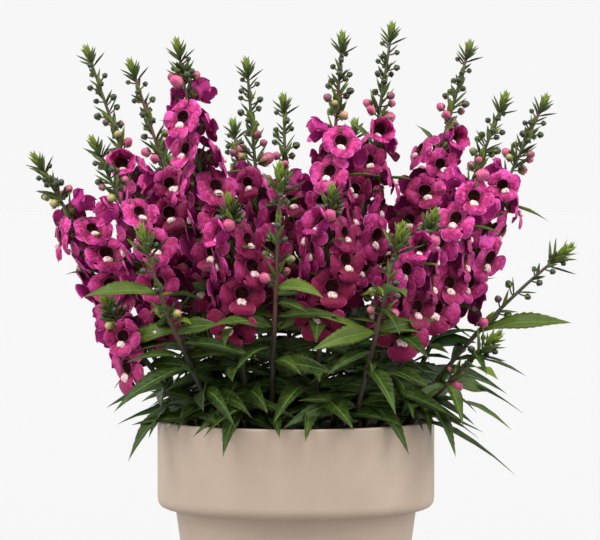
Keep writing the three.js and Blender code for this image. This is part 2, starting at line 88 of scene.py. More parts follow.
class Port:
    """A node's output. Sums and products written with it add Math nodes."""

    def __init__(self, graph, socket):
        self.graph = graph
        self.socket = socket

    def of(self, name):
        """Another output of the same node."""
        return Port(self.graph, self.socket.node.outputs[name])

    def math(self, operation, *terms):
        """A Math node, or a Vector Math node where a term is a vector."""
        ports = [term for term in terms if isinstance(term, Port)]
        kind = "ShaderNodeMath"
        if any(port.socket.type == "VECTOR" for port in ports):
            kind = "ShaderNodeVectorMath"
            terms = [term if isinstance(term, (Port, tuple)) else (term,) * 3 for term in terms]
        return self.graph.add(kind, {"operation": operation}, dict(enumerate(terms)))

    def __add__(self, other):
        return self.math("ADD", self, other)

    def __radd__(self, other):
        return self.math("ADD", other, self)

    def __sub__(self, other):
        return self.math("SUBTRACT", self, other)

    def __rsub__(self, other):
        return self.math("SUBTRACT", other, self)

    def __mul__(self, other):
        return self.math("MULTIPLY", self, other)

    def __rmul__(self, other):
        return self.math("MULTIPLY", other, self)

    def __pow__(self, other):
        return self.math("POWER", self, other)

    def __abs__(self):
        return self.math("ABSOLUTE", self)

    def at_most(self, most):
        return self.math("MINIMUM", self, most)

    def above(self, limit):
        """1 above the limit and 0 below it."""
        return self.math("GREATER_THAN", self, limit)

    def sine(self):
        return self.math("SINE", self)

    def within(self, low, high):
        """0 below low, 1 above high and smooth between them."""
        settings = {"interpolation_type": "SMOOTHSTEP"}
        inputs = {"Value": self, "From Min": low, "From Max": high}
        return self.graph.add("ShaderNodeMapRange", settings, inputs)

    def axis(self, name):
        """One of the three numbers of a vector."""
        return self.graph.add("ShaderNodeSeparateXYZ", None, {"Vector": self}).of(name)


class Graph:
    """A tree of nodes, with one method that adds any node."""

    def __init__(self, tree):
        self.tree = tree

    def add(self, kind, settings=None, inputs=None):
        node = self.tree.nodes.new(kind)
        for key, value in (settings or {}).items():
            setattr(node, key, value)
        for key, value in (inputs or {}).items():
            self.feed(node, key, value)
        return Port(self, next((socket for socket in node.outputs if socket.enabled), None))

    def feed(self, node, key, value):
        named = [socket for socket in node.inputs if socket.enabled and socket.name == key]
        socket = named[0] if named else node.inputs[key]
        for one in value if isinstance(value, list) else [value]:
            if isinstance(one, Port):
                self.tree.links.new(one.socket, socket)
            else:
                socket.default_value = one

    def layers(self, colour, *layers):
        """A colour with others laid over it, each given as its share and the colour. A plain colour
        is one that shade() takes."""
        for share, over in layers:
            first, second = [shade(*one) if isinstance(one, tuple) else one for one in (colour, over)]
            inputs = {"Factor": share, "A": first, "B": second}
            colour = self.add("ShaderNodeMix", {"data_type": "RGBA"}, inputs)
        return colour

    def noise(self, place, scale, detail=2.0, roughness=0.5):
        inputs = {"Vector": place, "Scale": scale, "Detail": detail, "Roughness": roughness}
        return self.add("ShaderNodeTexNoise", None, inputs)

    def attribute(self, name, kind):
        """What the mesh carries at each corner under this name, as a number or as a vector."""
        return self.add("ShaderNodeAttribute", {"attribute_name": name}).of(kind)


def shade(red, green, blue):
    """A colour from its parts as a picture has them, from 0 to 255."""
    parts = [part / 255 for part in (red, green, blue)]
    linear = [part / 12.92 if part < 0.04045 else ((part + 0.055) / 1.055) ** 2.4 for part in parts]
    return (*linear, 1.0)


class Finish:
    """A material with its graph and its shader, whose plain values are set straight on it."""

    def __init__(self, name, **values):
        self.material = bpy.data.materials.new(name)
        self.material.use_nodes = True
        self.graph = Graph(self.material.node_tree)
        self.shader = self.material.node_tree.nodes["Principled BSDF"]
        for key, value in values.items():
            self.feed(key.replace("_", " "), value)

    def feed(self, name, value):
        self.graph.feed(self.shader, name, value)

    def coat(self, colour, *layers):
        """Gives the surface a colour with others laid over it."""
        self.feed("Base Color", self.graph.layers(colour, *layers))

    def place(self):
        """Where on the piece a point lies, in the frame that all pieces share."""
        return self.graph.add("ShaderNodeTexCoord").of("Object")

    def value(self, name):
        """A number that the mesh carries at each corner."""
        return self.graph.attribute(name, "Fac")

    def parts(self, name):
        """The three numbers of a vector that the mesh carries at each corner."""
        across = self.graph.attribute(name, "Vector").axis("X")
        return [across, across.of("Y"), across.of("Z")]

    def bump(self, height, strength, distance):
        inputs = {"Height": height, "Strength": strength, "Distance": distance}
        self.feed("Normal", self.graph.add("ShaderNodeBump", None, inputs))


def rounded(corners):
    """An outline of (radius, height, rounding) corners, with an arc in place of each corner."""
    outline = []
    for k, (radius, height, rounding) in enumerate(corners):
        here = Vector((radius, height))
        if rounding == 0:
            outline.append(here)
            continue
        before = (Vector(corners[k - 1][:2]) - here).normalized()
        after = (Vector(corners[k + 1][:2]) - here).normalized()
        for step in range(ARC_STEPS + 1):
            share = step / ARC_STEPS
            start = here + before * rounding * (1 - share)
            end = here + after * rounding * share
            outline.append(start.lerp(end, share))
    return outline


def turned(shape, outline, sides):
    """Adds a closed outline of (radius, height) points to a mesh, turned about the upright axis."""
    rings = []
    for radius, height in outline:
        angles = [2 * math.pi * k / sides for k in range(sides)]
        points = [(radius * math.cos(angle), radius * math.sin(angle), height) for angle in angles]
        rings.append([shape.verts.new(point) for point in points])
    for lower, upper in zip(rings, rings[1:]):
        for k in range(sides):
            after = (k + 1) % sides
            shape.faces.new((lower[k], lower[after], upper[after], upper[k]))


def mesh_from(shape, name):
    """The plain mesh of a closed shape, its doubles merged and its faces turned outwards."""
    bmesh.ops.remove_doubles(shape, verts=shape.verts, dist=1e-7)
    bmesh.ops.dissolve_degenerate(shape, edges=shape.edges, dist=1e-8)
    bmesh.ops.recalc_face_normals(shape, faces=shape.faces)
    made = bpy.data.meshes.new(name)
    shape.to_mesh(made)
    shape.free()
    made.shade_smooth()
    return made


def put(name, mesh):
    """A piece of the scene that has this mesh."""
    piece = bpy.data.objects.new(name, mesh)
    bpy.context.collection.objects.link(piece)
    return piece


def settled(piece):
    """The piece's mesh with its modifiers worked out, and the piece itself gone."""
    depsgraph = bpy.context.evaluated_depsgraph_get()
    worked = piece.evaluated_get(depsgraph)
    mesh = bpy.data.meshes.new_from_object(worked, preserve_all_data_layers=True, depsgraph=depsgraph)
    bpy.data.objects.remove(piece)
    return mesh


def seat(piece, node):
    """The piece stands for a solid of the same frame: it rides on the root body, and the solid is hidden."""
    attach(piece, "root")
    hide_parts(node)


def pot_mesh():
    """The pot turned from its outline, from the middle of its floor round the rim to its base, with
    the drain holes cut."""
    outline = rounded([
        (0, FLOOR, 0),
        (BASE_RADIUS - WALL, FLOOR, FLOOR_ROUNDING),
        (BODY_TOP_RADIUS - WALL, COLLAR_FOOT, BODY_ROUNDING),
        (COLLAR_RADIUS - WALL, POT_HEIGHT, RIM_ROUNDING[0]),
        (COLLAR_RADIUS, POT_HEIGHT, RIM_ROUNDING[1]),
        (COLLAR_RADIUS, COLLAR_FOOT, COLLAR_ROUNDING),
        (BODY_TOP_RADIUS, COLLAR_FOOT, UNDERCUT_ROUNDING),
        (BASE_RADIUS, 0, BASE_ROUNDING),
        (0, 0, 0),
    ])
    shape = bmesh.new()
    turned(shape, [point * MM for point in outline], POT_SIDES)
    pot = put("pot_walls", mesh_from(shape, "pot_walls"))
    drill = bmesh.new()
    for k in range(DRAIN_HOLES):
        angle = 2 * math.pi * (k + 0.5) / DRAIN_HOLES
        middle = (DRAIN_CIRCLE * MM * math.cos(angle), DRAIN_CIRCLE * MM * math.sin(angle), 0)
        bmesh.ops.create_cone(
            drill, cap_ends=True, segments=DRILL_SIDES, radius1=DRAIN_RADIUS * MM,
            radius2=DRAIN_RADIUS * MM, depth=4 * FLOOR * MM, matrix=Matrix.Translation(middle))
    drills = put("drills", mesh_from(drill, "drills"))
    cut = pot.modifiers.new("drain holes", "BOOLEAN")
    cut.object = drills
    cut.solver = "EXACT"
    mesh = settled(pot)
    bpy.data.objects.remove(drills)
    mesh.shade_smooth()
    return mesh


plastic = Finish("matte beige plastic")
place = plastic.place()
cloud = plastic.graph.noise(place, 22, 3)
grain = plastic.graph.noise(place, 900, 2)
plastic.coat(BEIGE, (cloud.within(0.3, 0.7), PALE_BEIGE), (grain * 0.12, BEIGE_GRAIN))
plastic.feed("Roughness", 0.52 + 0.16 * cloud)
plastic.bump(grain, 0.12, 0.0003)

pot_walls = pot_mesh()
pot_walls.materials.clear()
pot_walls.materials.append(plastic.material)
seat(put("pot_moulded", pot_walls), "pot")

# Potting mix. Dark peat and bark, filled to just under the rim. Its top is uneven and strewn with
# loose chips, which a tree of nodes scatters over it.

SOIL_BELOW_RIM = 6
SOIL_TOP = POT_HEIGHT - SOIL_BELOW_RIM
SOIL_CLEAR = 0.6
SOIL_SIDES = 96
SOIL_RINGS = 22
SWELL = 1.6
CHIPS = {"Swell height": SWELL * MM, "Chips each square metre": 38000.0, "Chip size": 2.6 * MM}
CHIP_SIZES = (0.35, 1.5)
CHIP_TURNS = ((-0.5, -0.5, 0.0), (0.5, 0.5, 6.28))
CHIP_SLOPE = 0.7
CHIP_SEED = 7
PEAT = (24, 17, 12)
BARK = (66, 48, 34)
DRY_BARK = (88, 66, 46)


class Grower:
    """A tree of geometry nodes with named inputs, which turns a plain mesh into a finished one."""

    KINDS = {bpy.types.Object: "Object", bpy.types.Material: "Material", int: "Int", float: "Float"}

    def __init__(self, name, sizes):
        self.tree = bpy.data.node_groups.new(name, "GeometryNodeTree")
        self.sizes = sizes
        self.sockets = {}
        interface = self.tree.interface
        interface.new_socket("Geometry", in_out="INPUT", socket_type="NodeSocketGeometry")
        interface.new_socket("Geometry", in_out="OUTPUT", socket_type="NodeSocketGeometry")
        for size, value in sizes.items():
            kind = "NodeSocket" + self.KINDS[type(value)]
            made = interface.new_socket(size, in_out="INPUT", socket_type=kind)
            self.sockets[size] = made.identifier
        self.graph = Graph(self.tree)
        self.start = self.graph.add("NodeGroupInput")

    def input(self, name="Geometry"):
        return self.start.of(name)

    def value(self, name, kind="FLOAT"):
        """What each point of the geometry carries under this name."""
        return self.graph.add("GeometryNodeInputNamedAttribute", {"data_type": kind}, {"Name": name})

    def finish(self, branches):
        """Ends the tree by joining what its branches grew."""
        joined = self.graph.add("GeometryNodeJoinGeometry", None, {"Geometry": branches})
        real = self.graph.add("GeometryNodeRealizeInstances", None, {"Geometry": joined})
        self.graph.add("NodeGroupOutput", None, {"Geometry": real})

    def grow(self, name, mesh):
        """The finished mesh that grows from a plain one."""
        piece = put(name, mesh)
        modifier = piece.modifiers.new(self.tree.name, "NODES")
        modifier.node_group = self.tree
        for size, value in self.sizes.items():
            modifier[self.sockets[size]] = value
        return settled(piece)


def soil_block():
    """The plain block of potting mix, a hair clear of the pot's wall."""
    base, shoulder, top = [
        radius - WALL - SOIL_CLEAR for radius in (BASE_RADIUS, BODY_TOP_RADIUS, COLLAR_RADIUS)]
    outline = [(0, FLOOR), (base, FLOOR), (shoulder, COLLAR_FOOT)]
    outline += [(top * (1 - ring / SOIL_RINGS), SOIL_TOP - SWELL) for ring in range(SOIL_RINGS + 1)]
    shape = bmesh.new()
    turned(shape, [(radius * MM, height * MM) for radius, height in outline], SOIL_SIDES)
    return mesh_from(shape, "soil_block")


def chip_mesh():
    """One flake of bark, longer than it is wide."""
    shape = bmesh.new()
    bmesh.ops.create_icosphere(shape, subdivisions=1, radius=0.5)
    for k, corner in enumerate(shape.verts):
        corner.co.x *= 0.75 + 0.5 * ((k * 7) % 5) / 5
        corner.co.y *= 0.55
        corner.co.z *= 0.3 + 0.2 * ((k * 3) % 4) / 4
    mesh = mesh_from(shape, "bark_chip")
    mesh.shade_flat()
    return mesh


peat = Finish("dark peat and bark", Roughness=0.95)
place = peat.place()
lumps = peat.graph.noise(place, 160, 4)
patches = peat.graph.noise(place, 45, 2)
peat.coat(PEAT, (lumps.within(0.35, 0.65), BARK), (patches.within(0.45, 0.75), DRY_BARK))
peat.bump(lumps, 0.8, 0.002)

chip = put("bark_chip", chip_mesh())
mix = Grower("potting mix", {**CHIPS, "Chip": chip, "Seed": CHIP_SEED, "Finish": peat.material})
nodes = mix.graph
position = nodes.add("GeometryNodeInputPosition")
on_top = position.axis("Z").above((SOIL_TOP - 2 * SWELL) * MM)
facing_up = nodes.add("GeometryNodeInputNormal").axis("Z").above(CHIP_SLOPE)
swell = nodes.noise(position, 60, 3) * mix.input("Swell height")
lift = nodes.add("ShaderNodeCombineXYZ", None, {"Z": swell})
uneven = nodes.add(
    "GeometryNodeSetPosition", None, {"Geometry": mix.input(), "Selection": on_top, "Offset": lift})
points = nodes.add("GeometryNodeDistributePointsOnFaces", None, {
    "Mesh": uneven, "Selection": facing_up, "Density": mix.input("Chips each square metre"),
    "Seed": mix.input("Seed")})
spin = nodes.add("FunctionNodeRandomValue", {"data_type": "FLOAT_VECTOR"}, {
    "Min": CHIP_TURNS[0], "Max": CHIP_TURNS[1], "Seed": mix.input("Seed")})
size = nodes.add("FunctionNodeRandomValue", None, {
    "Min": CHIP_SIZES[0], "Max": CHIP_SIZES[1], "Seed": mix.input("Seed")})
flake = nodes.add("GeometryNodeObjectInfo", None, {"Object": mix.input("Chip")}).of("Geometry")
chips = nodes.add("GeometryNodeInstanceOnPoints", None, {
    "Points": points, "Instance": flake, "Rotation": spin, "Scale": size * mix.input("Chip size")})
real = nodes.add("GeometryNodeRealizeInstances", None, {"Geometry": chips})
dressed = [
    nodes.add("GeometryNodeSetMaterial", None, {"Geometry": one, "Material": mix.input("Finish")})
    for one in (uneven, real)]
mix.finish(dressed)
seat(put("potting_mix", mix.grow("potting_mix", soil_block())), "soil")
bpy.data.objects.remove(chip)

# Stems. Each shoot is one upright stem that leans out of the pot, dark brown where it is old,
# darker still low down as painted shade, and green with a reddish flush above, downy, with a slight
# swelling at each pair of leaves.

SUNK = 16
LOW_LEAF_HEIGHT = 16
BELOW_BLOOMS = 0.03
FOOT_SHARE = 0.34
LEAN = (0.3, 0.66)
STEM_FOOT_RADIUS = 1.7
STEM_TIP_RADIUS = 0.75
STEM_END = 4
STEM_STEPS = 26
SWOLLEN = 0.35
SWOLLEN_REACH = 6
GOLDEN_TURN = 137.5
# The steps of an even spread, from one repeat to the next and from one row to the next.
REPEAT_STEP = 0.6180339887
ROW_STEP = 0.7548776662
# Heights in metres between which a stem turns from old, and darkened as painted shade, to young.
YOUNG_AND_UNSHADED_STEM_FROM = (0.155, 0.2)
# The old stem's own brown, darkened further as painted shade for the low stems deep in the bush.
OLD_STEM_IN_PAINTED_SHADE = (30, 26, 16)
OLD_STREAK_IN_PAINTED_SHADE = (52, 42, 26)
YOUNG_STEM = (54, 54, 28)
STEM_FLUSH = (90, 58, 48)

UP = Vector((0, 0, 1))
RIGHT = Vector((1, 0, 0))
FRONT = Vector((0, -1, 0))

# Each shoot: its tip, the turn of its first leaf pair in degrees, its leaf pairs, its flowers with
# the stretch of stem that they cover, and its buds. Where they aren't the usual ones, also its
# foot, the share of its sideways travel at a third and two thirds of its height (lean), how far up
# its highest leaves are (top), and the size of its leaves (leaf).
SHOOTS = {
    "front_left": {
        "tip": (-35, -62, 253), "foot": (-24, -26),
        "turn": 262, "pairs": 5, "blooms": 6, "from": 0.54, "to": 0.85, "buds": 3},
    "front_mid": {
        "tip": (-8, -74, 269), "foot": (-14, -34), "lean": (0.3, 0.7),
        "turn": 215, "pairs": 4, "buds": 5, "top": 0.6},
    "front_right": {
        "tip": (73, -58, 245),
        "turn": 300, "pairs": 5, "blooms": 6, "from": 0.54, "to": 0.85, "buds": 3},
    "front_young_right": {
        "tip": (55, -82, 238), "foot": (26, -36),
        "turn": 25, "pairs": 4, "buds": 4, "top": 0.72},
    "front_young_left": {
        "tip": (-80, -66, 237), "foot": (-30, -30), "lean": (0.4, 0.85),
        "turn": 314, "pairs": 4, "buds": 3, "top": 0.72},
    "front_centre": {
        "tip": (19, -56, 258), "foot": (8, -32),
        "turn": 268, "pairs": 5, "blooms": 6, "from": 0.54, "to": 0.85, "buds": 3},
    "left_droop": {
        "tip": (-102, -34, 200), "foot": (-42, -18), "lean": (0.3, 0.72),
        "turn": 235, "pairs": 2, "blooms": 3, "from": 0.62, "to": 0.8, "buds": 3, "leaf": 0.8},
    "right_lateral": {
        "tip": (148, -10, 226), "foot": (46, -6), "lean": (0.24, 0.52),
        "turn": 254, "pairs": 2, "buds": 4, "top": 0.6, "leaf": 1.15},
    "right_leafy": {
        "tip": (108, -32, 180), "foot": (42, -22), "lean": (0.3, 0.62),
        "turn": 300, "pairs": 3, "buds": 3, "top": 0.75, "leaf": 0.75},
    "left_low": {
        "tip": (-141, -8, 275), "foot": (-46, -4),
        "turn": 245, "pairs": 2, "blooms": 7, "from": 0.48, "to": 0.8, "buds": 5, "leaf": 0.7},
    "left_tall": {
        "tip": (-116, 40, 335),
        "turn": 140, "pairs": 2, "blooms": 7, "from": 0.4, "to": 0.7, "buds": 6, "leaf": 0.8},
    "left_mid": {
        "tip": (-90, 8, 326), "foot": (-30, 3), "lean": (0.28, 0.6),
        "turn": 60, "pairs": 3, "blooms": 7, "from": 0.42, "to": 0.7, "buds": 6},
    "left_side": {
        "tip": (-107, -46, 283), "foot": (-33, -16),
        "turn": 250, "pairs": 3, "blooms": 6, "from": 0.45, "to": 0.78, "buds": 4, "leaf": 0.85},
    "left_spike": {
        "tip": (-63, -34, 335), "lean": (0.33, 0.7),
        "turn": 240, "pairs": 3, "blooms": 10, "from": 0.42, "to": 0.86, "buds": 5},
    "mid_left": {
        "tip": (-27, 14, 327),
        "turn": 20, "pairs": 3, "blooms": 7, "from": 0.42, "to": 0.7, "buds": 6},
    "mid_back": {
        "tip": (-7, 60, 309),
        "turn": 90, "pairs": 2, "blooms": 6, "from": 0.42, "to": 0.74, "buds": 4},
    "mid_right": {
        "tip": (25, -8, 340),
        "turn": 300, "pairs": 4, "blooms": 8, "from": 0.42, "to": 0.76, "buds": 6},
    "right_tall": {
        "tip": (53, 28, 347),
        "turn": 40, "pairs": 3, "blooms": 8, "from": 0.4, "to": 0.74, "buds": 6},
    "right_back": {
        "tip": (97, 48, 338),
        "turn": 70, "pairs": 2, "blooms": 8, "from": 0.42, "to": 0.76, "buds": 5, "leaf": 0.8},
    "right_mid": {
        "tip": (112, -22, 307),
        "turn": 300, "pairs": 4, "blooms": 8, "from": 0.42, "to": 0.74, "buds": 6, "leaf": 0.9},
    "right_side": {
        "tip": (137, 20, 307),
        "turn": 45, "pairs": 2, "blooms": 7, "from": 0.45, "to": 0.76, "buds": 6, "leaf": 0.7},
    "back_left": {
        "tip": (-77, 84, 285),
        "turn": 130, "pairs": 2, "blooms": 6, "from": 0.44, "to": 0.82, "buds": 3, "leaf": 0.8},
    "back_mid_left": {
        "tip": (-36, 98, 296),
        "turn": 110, "pairs": 2, "blooms": 6, "from": 0.44, "to": 0.82, "buds": 3},
    "back_mid_right": {
        "tip": (34, 98, 296),
        "turn": 80, "pairs": 2, "blooms": 6, "from": 0.44, "to": 0.82, "buds": 3},
    "back_right": {
        "tip": (84, 92, 285),
        "turn": 50, "pairs": 2, "blooms": 6, "from": 0.44, "to": 0.82, "buds": 3, "leaf": 0.8},
}


def lerp(first, second, share):
    return first + (second - first) * share


def level(way):
    """The level direction that this one points in."""
    return Vector((way.x, way.y, 0)).normalized()


def swung(x, y, angle):
    """A point (x, y) swung round the origin by an angle."""
    return x * math.cos(angle) - y * math.sin(angle), x * math.sin(angle) + y * math.cos(angle)


def about(middle, swing, count, row):
    """A value that swings evenly about its middle from one repeat to the next."""
    return middle + swing * spread(count, row)


def spread(count, row):
    """A number from -1 to 1, spread evenly over a run of repeats, with a row for each use."""
    return 2 * (((count + 1) * REPEAT_STEP + row * ROW_STEP) % 1) - 1


class Place:
    """A point of a stem with the directions along it and square to it."""

    def __init__(self, point, along):
        self.point = point
        self.along = along
        self.across = (RIGHT - along * RIGHT.dot(along)).normalized()
        self.depth = along.cross(self.across)

    def towards(self, degrees):
        """The direction square to the stem at this turn about it."""
        angle = math.radians(degrees)
        return self.across * math.cos(angle) + self.depth * math.sin(angle)


class Stem:
    """A shoot's stem as a curve from its foot in the potting mix to its tip, in millimetres."""

    def __init__(self, shoot):
        self.tip = Vector(shoot["tip"])
        foot = shoot.get("foot") or (self.tip.x * FOOT_SHARE, self.tip.y * FOOT_SHARE)
        self.foot = Vector((*foot, SOIL_TOP - SUNK))
        self.low, self.high = [
            Vector((
                lerp(self.foot.x, self.tip.x, share),
                lerp(self.foot.y, self.tip.y, share),
                lerp(self.foot.z, self.tip.z, (k + 1) / 3)))
            for k, share in enumerate(shoot.get("lean") or LEAN)]
        self.height = self.tip.z - self.foot.z
        self.outward = level(self.tip)

    def at(self, share):
        """The place on the stem at a share of its curve, from 0 at its foot to 1 at its tip."""
        left = 1 - share
        point = (self.foot * left ** 3 + self.low * 3 * left * left * share
                 + self.high * 3 * left * share * share + self.tip * share ** 3)
        along = ((self.low - self.foot) * left * left + (self.high - self.low) * 2 * left * share
                 + (self.tip - self.high) * share * share)
        return Place(point, along.normalized())

    def below_tip(self, distance):
        """The share of the curve that is this far below its tip."""
        return 1 - distance / (3 * (self.tip - self.high).length)


class Seats:
    """Points that a tree of nodes grows things on, each with its kind, turn and sizes."""

    # What a seat carries: the kind of its value, and the value where none is given.
    VALUES = {
        "kind": ("INT", 0), "pick": ("INT", 0), "turn": ("QUATERNION", (1, 0, 0, 0)),
        "span": ("FLOAT_VECTOR", (1, 1, 1)), "drop": ("FLOAT", 0), "girth": ("FLOAT", 0),
        "tone": ("FLOAT", 0), "age": ("FLOAT", 0)}

    def __init__(self):
        self.points = []
        self.edges = []
        self.rows = []

    def add(self, point, **values):
        self.points.append(Vector(point) * MM)
        self.rows.append(values)

    def rod(self, points, girths):
        """A run of seats joined by edges, which becomes a tube of these radii."""
        first = len(self.points)
        for point, girth in zip(points, girths):
            self.add(point, girth=girth * MM)
        self.edges += [(k, k + 1) for k in range(first, len(self.points) - 1)]

    def mesh(self, name):
        made = bpy.data.meshes.new(name)
        made.from_pydata(self.points, self.edges, [])
        for value, (kind, usual) in self.VALUES.items():
            column = [row.get(value, usual) for row in self.rows]
            if isinstance(usual, tuple):
                column = [part for entry in column for part in entry]
            field = "vector" if kind == "FLOAT_VECTOR" else "value"
            made.attributes.new(value, kind, "POINT").data.foreach_set(field, column)
        return made


def frame_of(side, along, face):
    """The turn that takes x to side, y to along and z to face, as four numbers."""
    return tuple(Matrix((side, along, face)).transposed().to_quaternion())


def leaf_shares(shoot, stem):
    """How far up the stem each leaf pair stands, as a share of its curve."""
    lowest = (SUNK + LOW_LEAF_HEIGHT) / stem.height
    highest = shoot.get("top") or shoot["from"] - BELOW_BLOOMS
    pairs = shoot["pairs"]
    return [lerp(lowest, highest, pair / (pairs - 1)) if pairs > 1 else highest for pair in range(pairs)]


def add_stem(seats, shoot, stem):
    """The stem itself, thinner towards its tip and a little swollen at each leaf pair."""
    end = stem.below_tip(STEM_END)
    joints = leaf_shares(shoot, stem)
    shares = [end * step / STEM_STEPS for step in range(STEM_STEPS + 1)]
    girths = []
    for share in shares:
        near = min(abs(share - joint) * stem.height for joint in joints)
        swelling = SWOLLEN * max(0, 1 - near / SWOLLEN_REACH)
        girths.append(lerp(STEM_FOOT_RADIUS, STEM_TIP_RADIUS, share / end) + swelling)
    seats.rod([stem.at(share).point for share in shares], girths)


def sheet(shape, rows, columns, point):
    """Adds a thin closed sheet to a mesh. Each row is (along, width), and the rule `point` places
    (along, width, across, side), where side is 1 on top and -1 underneath. The corners carry as
    their grain how far across and along they are, and whether they are underneath."""
    grain = shape.verts.layers.float_vector["grain"]
    for side in (1, -1):
        grid = []
        for along, width in rows:
            line = [shape.verts.new(point(along, width, across, side)) for across in columns]
            for corner, across in zip(line, columns):
                corner[grain] = (across, along, 1.0 if side < 0 and abs(across) < 1 else 0.0)
            grid.append(line)
        for near, far in zip(grid, grid[1:]):
            for k in range(len(columns) - 1):
                shape.faces.new((near[k], near[k + 1], far[k + 1], far[k]))


def half_gap(half_thick, across, width, side, run_out=3):
    """How far one side of a sheet lies from its middle, which runs out to nothing at its edges."""
    return side * half_thick * (1 - across ** 2) * min(1, run_out * width)


def new_shape():
    """An empty shape whose corners carry a grain."""
    shape = bmesh.new()
    shape.verts.layers.float_vector.new("grain")
    return shape


stem_skin = Finish("downy stem", Roughness=0.55)
place = stem_skin.place()
streaks = stem_skin.graph.noise(place * (1.0, 1.0, 0.15), 700, 2)
flush = stem_skin.graph.noise(place, 30, 2)
young = stem_skin.graph.layers(YOUNG_STEM, (flush.within(0.4, 0.65), STEM_FLUSH))
# Old stem below, darkened as painted shade, and young stem above.
stem_skin.coat(
    OLD_STEM_IN_PAINTED_SHADE,
    (streaks.within(0.3, 0.7), OLD_STREAK_IN_PAINTED_SHADE),
    (place.axis("Z").within(*YOUNG_AND_UNSHADED_STEM_FROM), young))
stem_skin.bump(streaks, 0.4, 0.0004)

# Leaves. They stand in pairs, each pair a quarter turn from the last. Low ones are long and arch
# over the rim, high ones are short and stand. Each is a lance-shaped blade with fine forward teeth
# and a pale midrib, dark with a faint gloss above and paler below.

LEAF_LENGTH = 62
LEAF_WIDTH = 13
TOP_LEAF_HEIGHT = 120
LEAF_TURN = 16
INWARD_LEAF = 0.68
TURNED_OUT = 0.8
TURNED_FRONT = 0.5
LEAF_SPAN = (1, 0.5)
LEAF_LIFT = (-0.3, 0.7)
LEAF_SAG = (0.5, 0.1)
LENGTH_SWING = 0.12
LIFT_SWING = 0.22
SAG_SWING = 0.4
POT_ROOM = 3
POT_RAISE = 0.08
MOST_RAISES = 14
CHECKED_SHARES = (0.3, 0.45, 0.6, 0.75, 0.9, 1)
# How much paler leaves are painted the higher they stand, as sunlit, on flowering and on young stems, so that
# low leaves stay dark as painted shade. The third is how pale the tips of young stems are of their own.
FLOWERING_LEAF_LIGHT_BY_HEIGHT = 0.5
YOUNG_STEM_LEAF_LIGHT_BY_HEIGHT = 0.9
YOUNG_LEAF_TONE = 1.6
TONE_SWING = 0.25
LEAF_TEETH = 10
TOOTH_START = 0.14
TOOTH_END = 0.94
TOOTH_CUT = 0.13
TOOTH_LEAN = 0.8
SMOOTH_START = 0.06
SMOOTH_END = 0.965
LEAF_FOLD = 0.17
LEAF_WAVE = 0.05
LEAF_GROOVE = 0.03
GROOVE_HALF_WIDTH = 0.3
LEAF_HALF_THICK = 0.022
LEAF_RUN_OUT = 5
LEAF_COLUMNS = (-1, -0.55, -0.08, 0.08, 0.55, 1)
# Each kind of leaf: how far it bows sideways, its twist, and how its waves begin.
LEAF_KINDS = ((0.0, 0.0, 0.0), (0.35, 0.5, 1.9), (-0.3, -0.6, 4.1))
SMALL_LEAF_ROWS = (0, 0.1, 0.25, 0.42, 0.6, 0.78, 0.92, 1)
SMALL_LEAF_COLUMNS = (-1, 0, 1)
SIDE_VEINS = 11
VEIN_SLANT = 1.6
DARK_LEAF = (26, 40, 9)
GREEN_LEAF = (48, 65, 16)
# The pale green of fresh young tips, also used as painted sunlight on high leaves.
PALE_AND_SUNLIT_LEAF = (102, 120, 40)
VEIN_GREEN = (64, 94, 38)
MIDRIB_GREEN = (104, 140, 68)
DRY_EDGE = (104, 74, 44)
UNDERSIDE_GREEN = (78, 110, 60)

# What stands on a seat. The seats of a stem or stalk have no kind, so their kind is 0.
LEAF, BRACT, BUD, FLOWER = 1, 2, 3, 4


def blade_width(along):
    """How wide a leaf is at a share of its length, against its widest."""
    return math.sin(math.pi * along ** 0.8) ** 1.1 if 0 < along < 1 else 0.0


def toothed_rows():
    """The rows of a large leaf, narrower at each notch and wider at each tooth."""
    rows = [(0, 0.0), (SMOOTH_START, blade_width(SMOOTH_START))]
    step = (TOOTH_END - TOOTH_START) / LEAF_TEETH
    for k in range(LEAF_TEETH):
        notch = TOOTH_START + step * k
        tip = notch + TOOTH_LEAN * step
        rows.append((notch, blade_width(notch) * (1 - TOOTH_CUT / 2)))
        rows.append((tip, blade_width(tip) * (1 + TOOTH_CUT / 2)))
    return rows + [(SMOOTH_END, blade_width(SMOOTH_END)), (1, 0.0)]


def leaf_mesh(name, rows, columns, bow, twist, wave):
    """One leaf, a unit long and a unit wide, folded along its midrib."""
    def point(along, width, across, side):
        half = across * width / 2
        rise = LEAF_FOLD * abs(across) * width
        rise += LEAF_WAVE * width * math.sin(9 * along + wave + 2 * across)
        groove = LEAF_GROOVE * width * max(0, 1 - abs(across) / GROOVE_HALF_WIDTH)
        x, z = swung(half, rise, twist * along)
        z = z - groove + half_gap(LEAF_HALF_THICK, across, width, side, LEAF_RUN_OUT)
        return (x + bow * along ** 2, along, z)

    shape = new_shape()
    sheet(shape, rows, columns, point)
    return mesh_from(shape, name)


leaf_skin = Finish("leaf", Specular_IOR_Level=0.18)
across, along, under = leaf_skin.parts("grain")
tone = leaf_skin.value("tone")
place = leaf_skin.place()
mottle = leaf_skin.graph.noise(place, 220, 3)
turns = along * SIDE_VEINS - abs(across) * VEIN_SLANT
veins = (turns * 6.283).sine().within(0.8, 1.0) * 0.4
midrib = 1 - abs(across).within(0.03, 0.1)
dry = (along.within(0.93, 1.0) + abs(across).within(0.9, 1.0) * 0.35).at_most(1.0)
leaf_skin.coat(
    DARK_LEAF,
    (mottle.within(0.3, 0.7), GREEN_LEAF),
    # Tone paints high leaves paler as sunlit and keeps low ones dark as painted shade; young tips are also
    # paler of their own.
    (tone.within(0.25, 1.35), PALE_AND_SUNLIT_LEAF),
    (veins, VEIN_GREEN),
    (midrib * 0.45, MIDRIB_GREEN),
    (dry * 0.7, DRY_EDGE),
    (under, UNDERSIDE_GREEN))
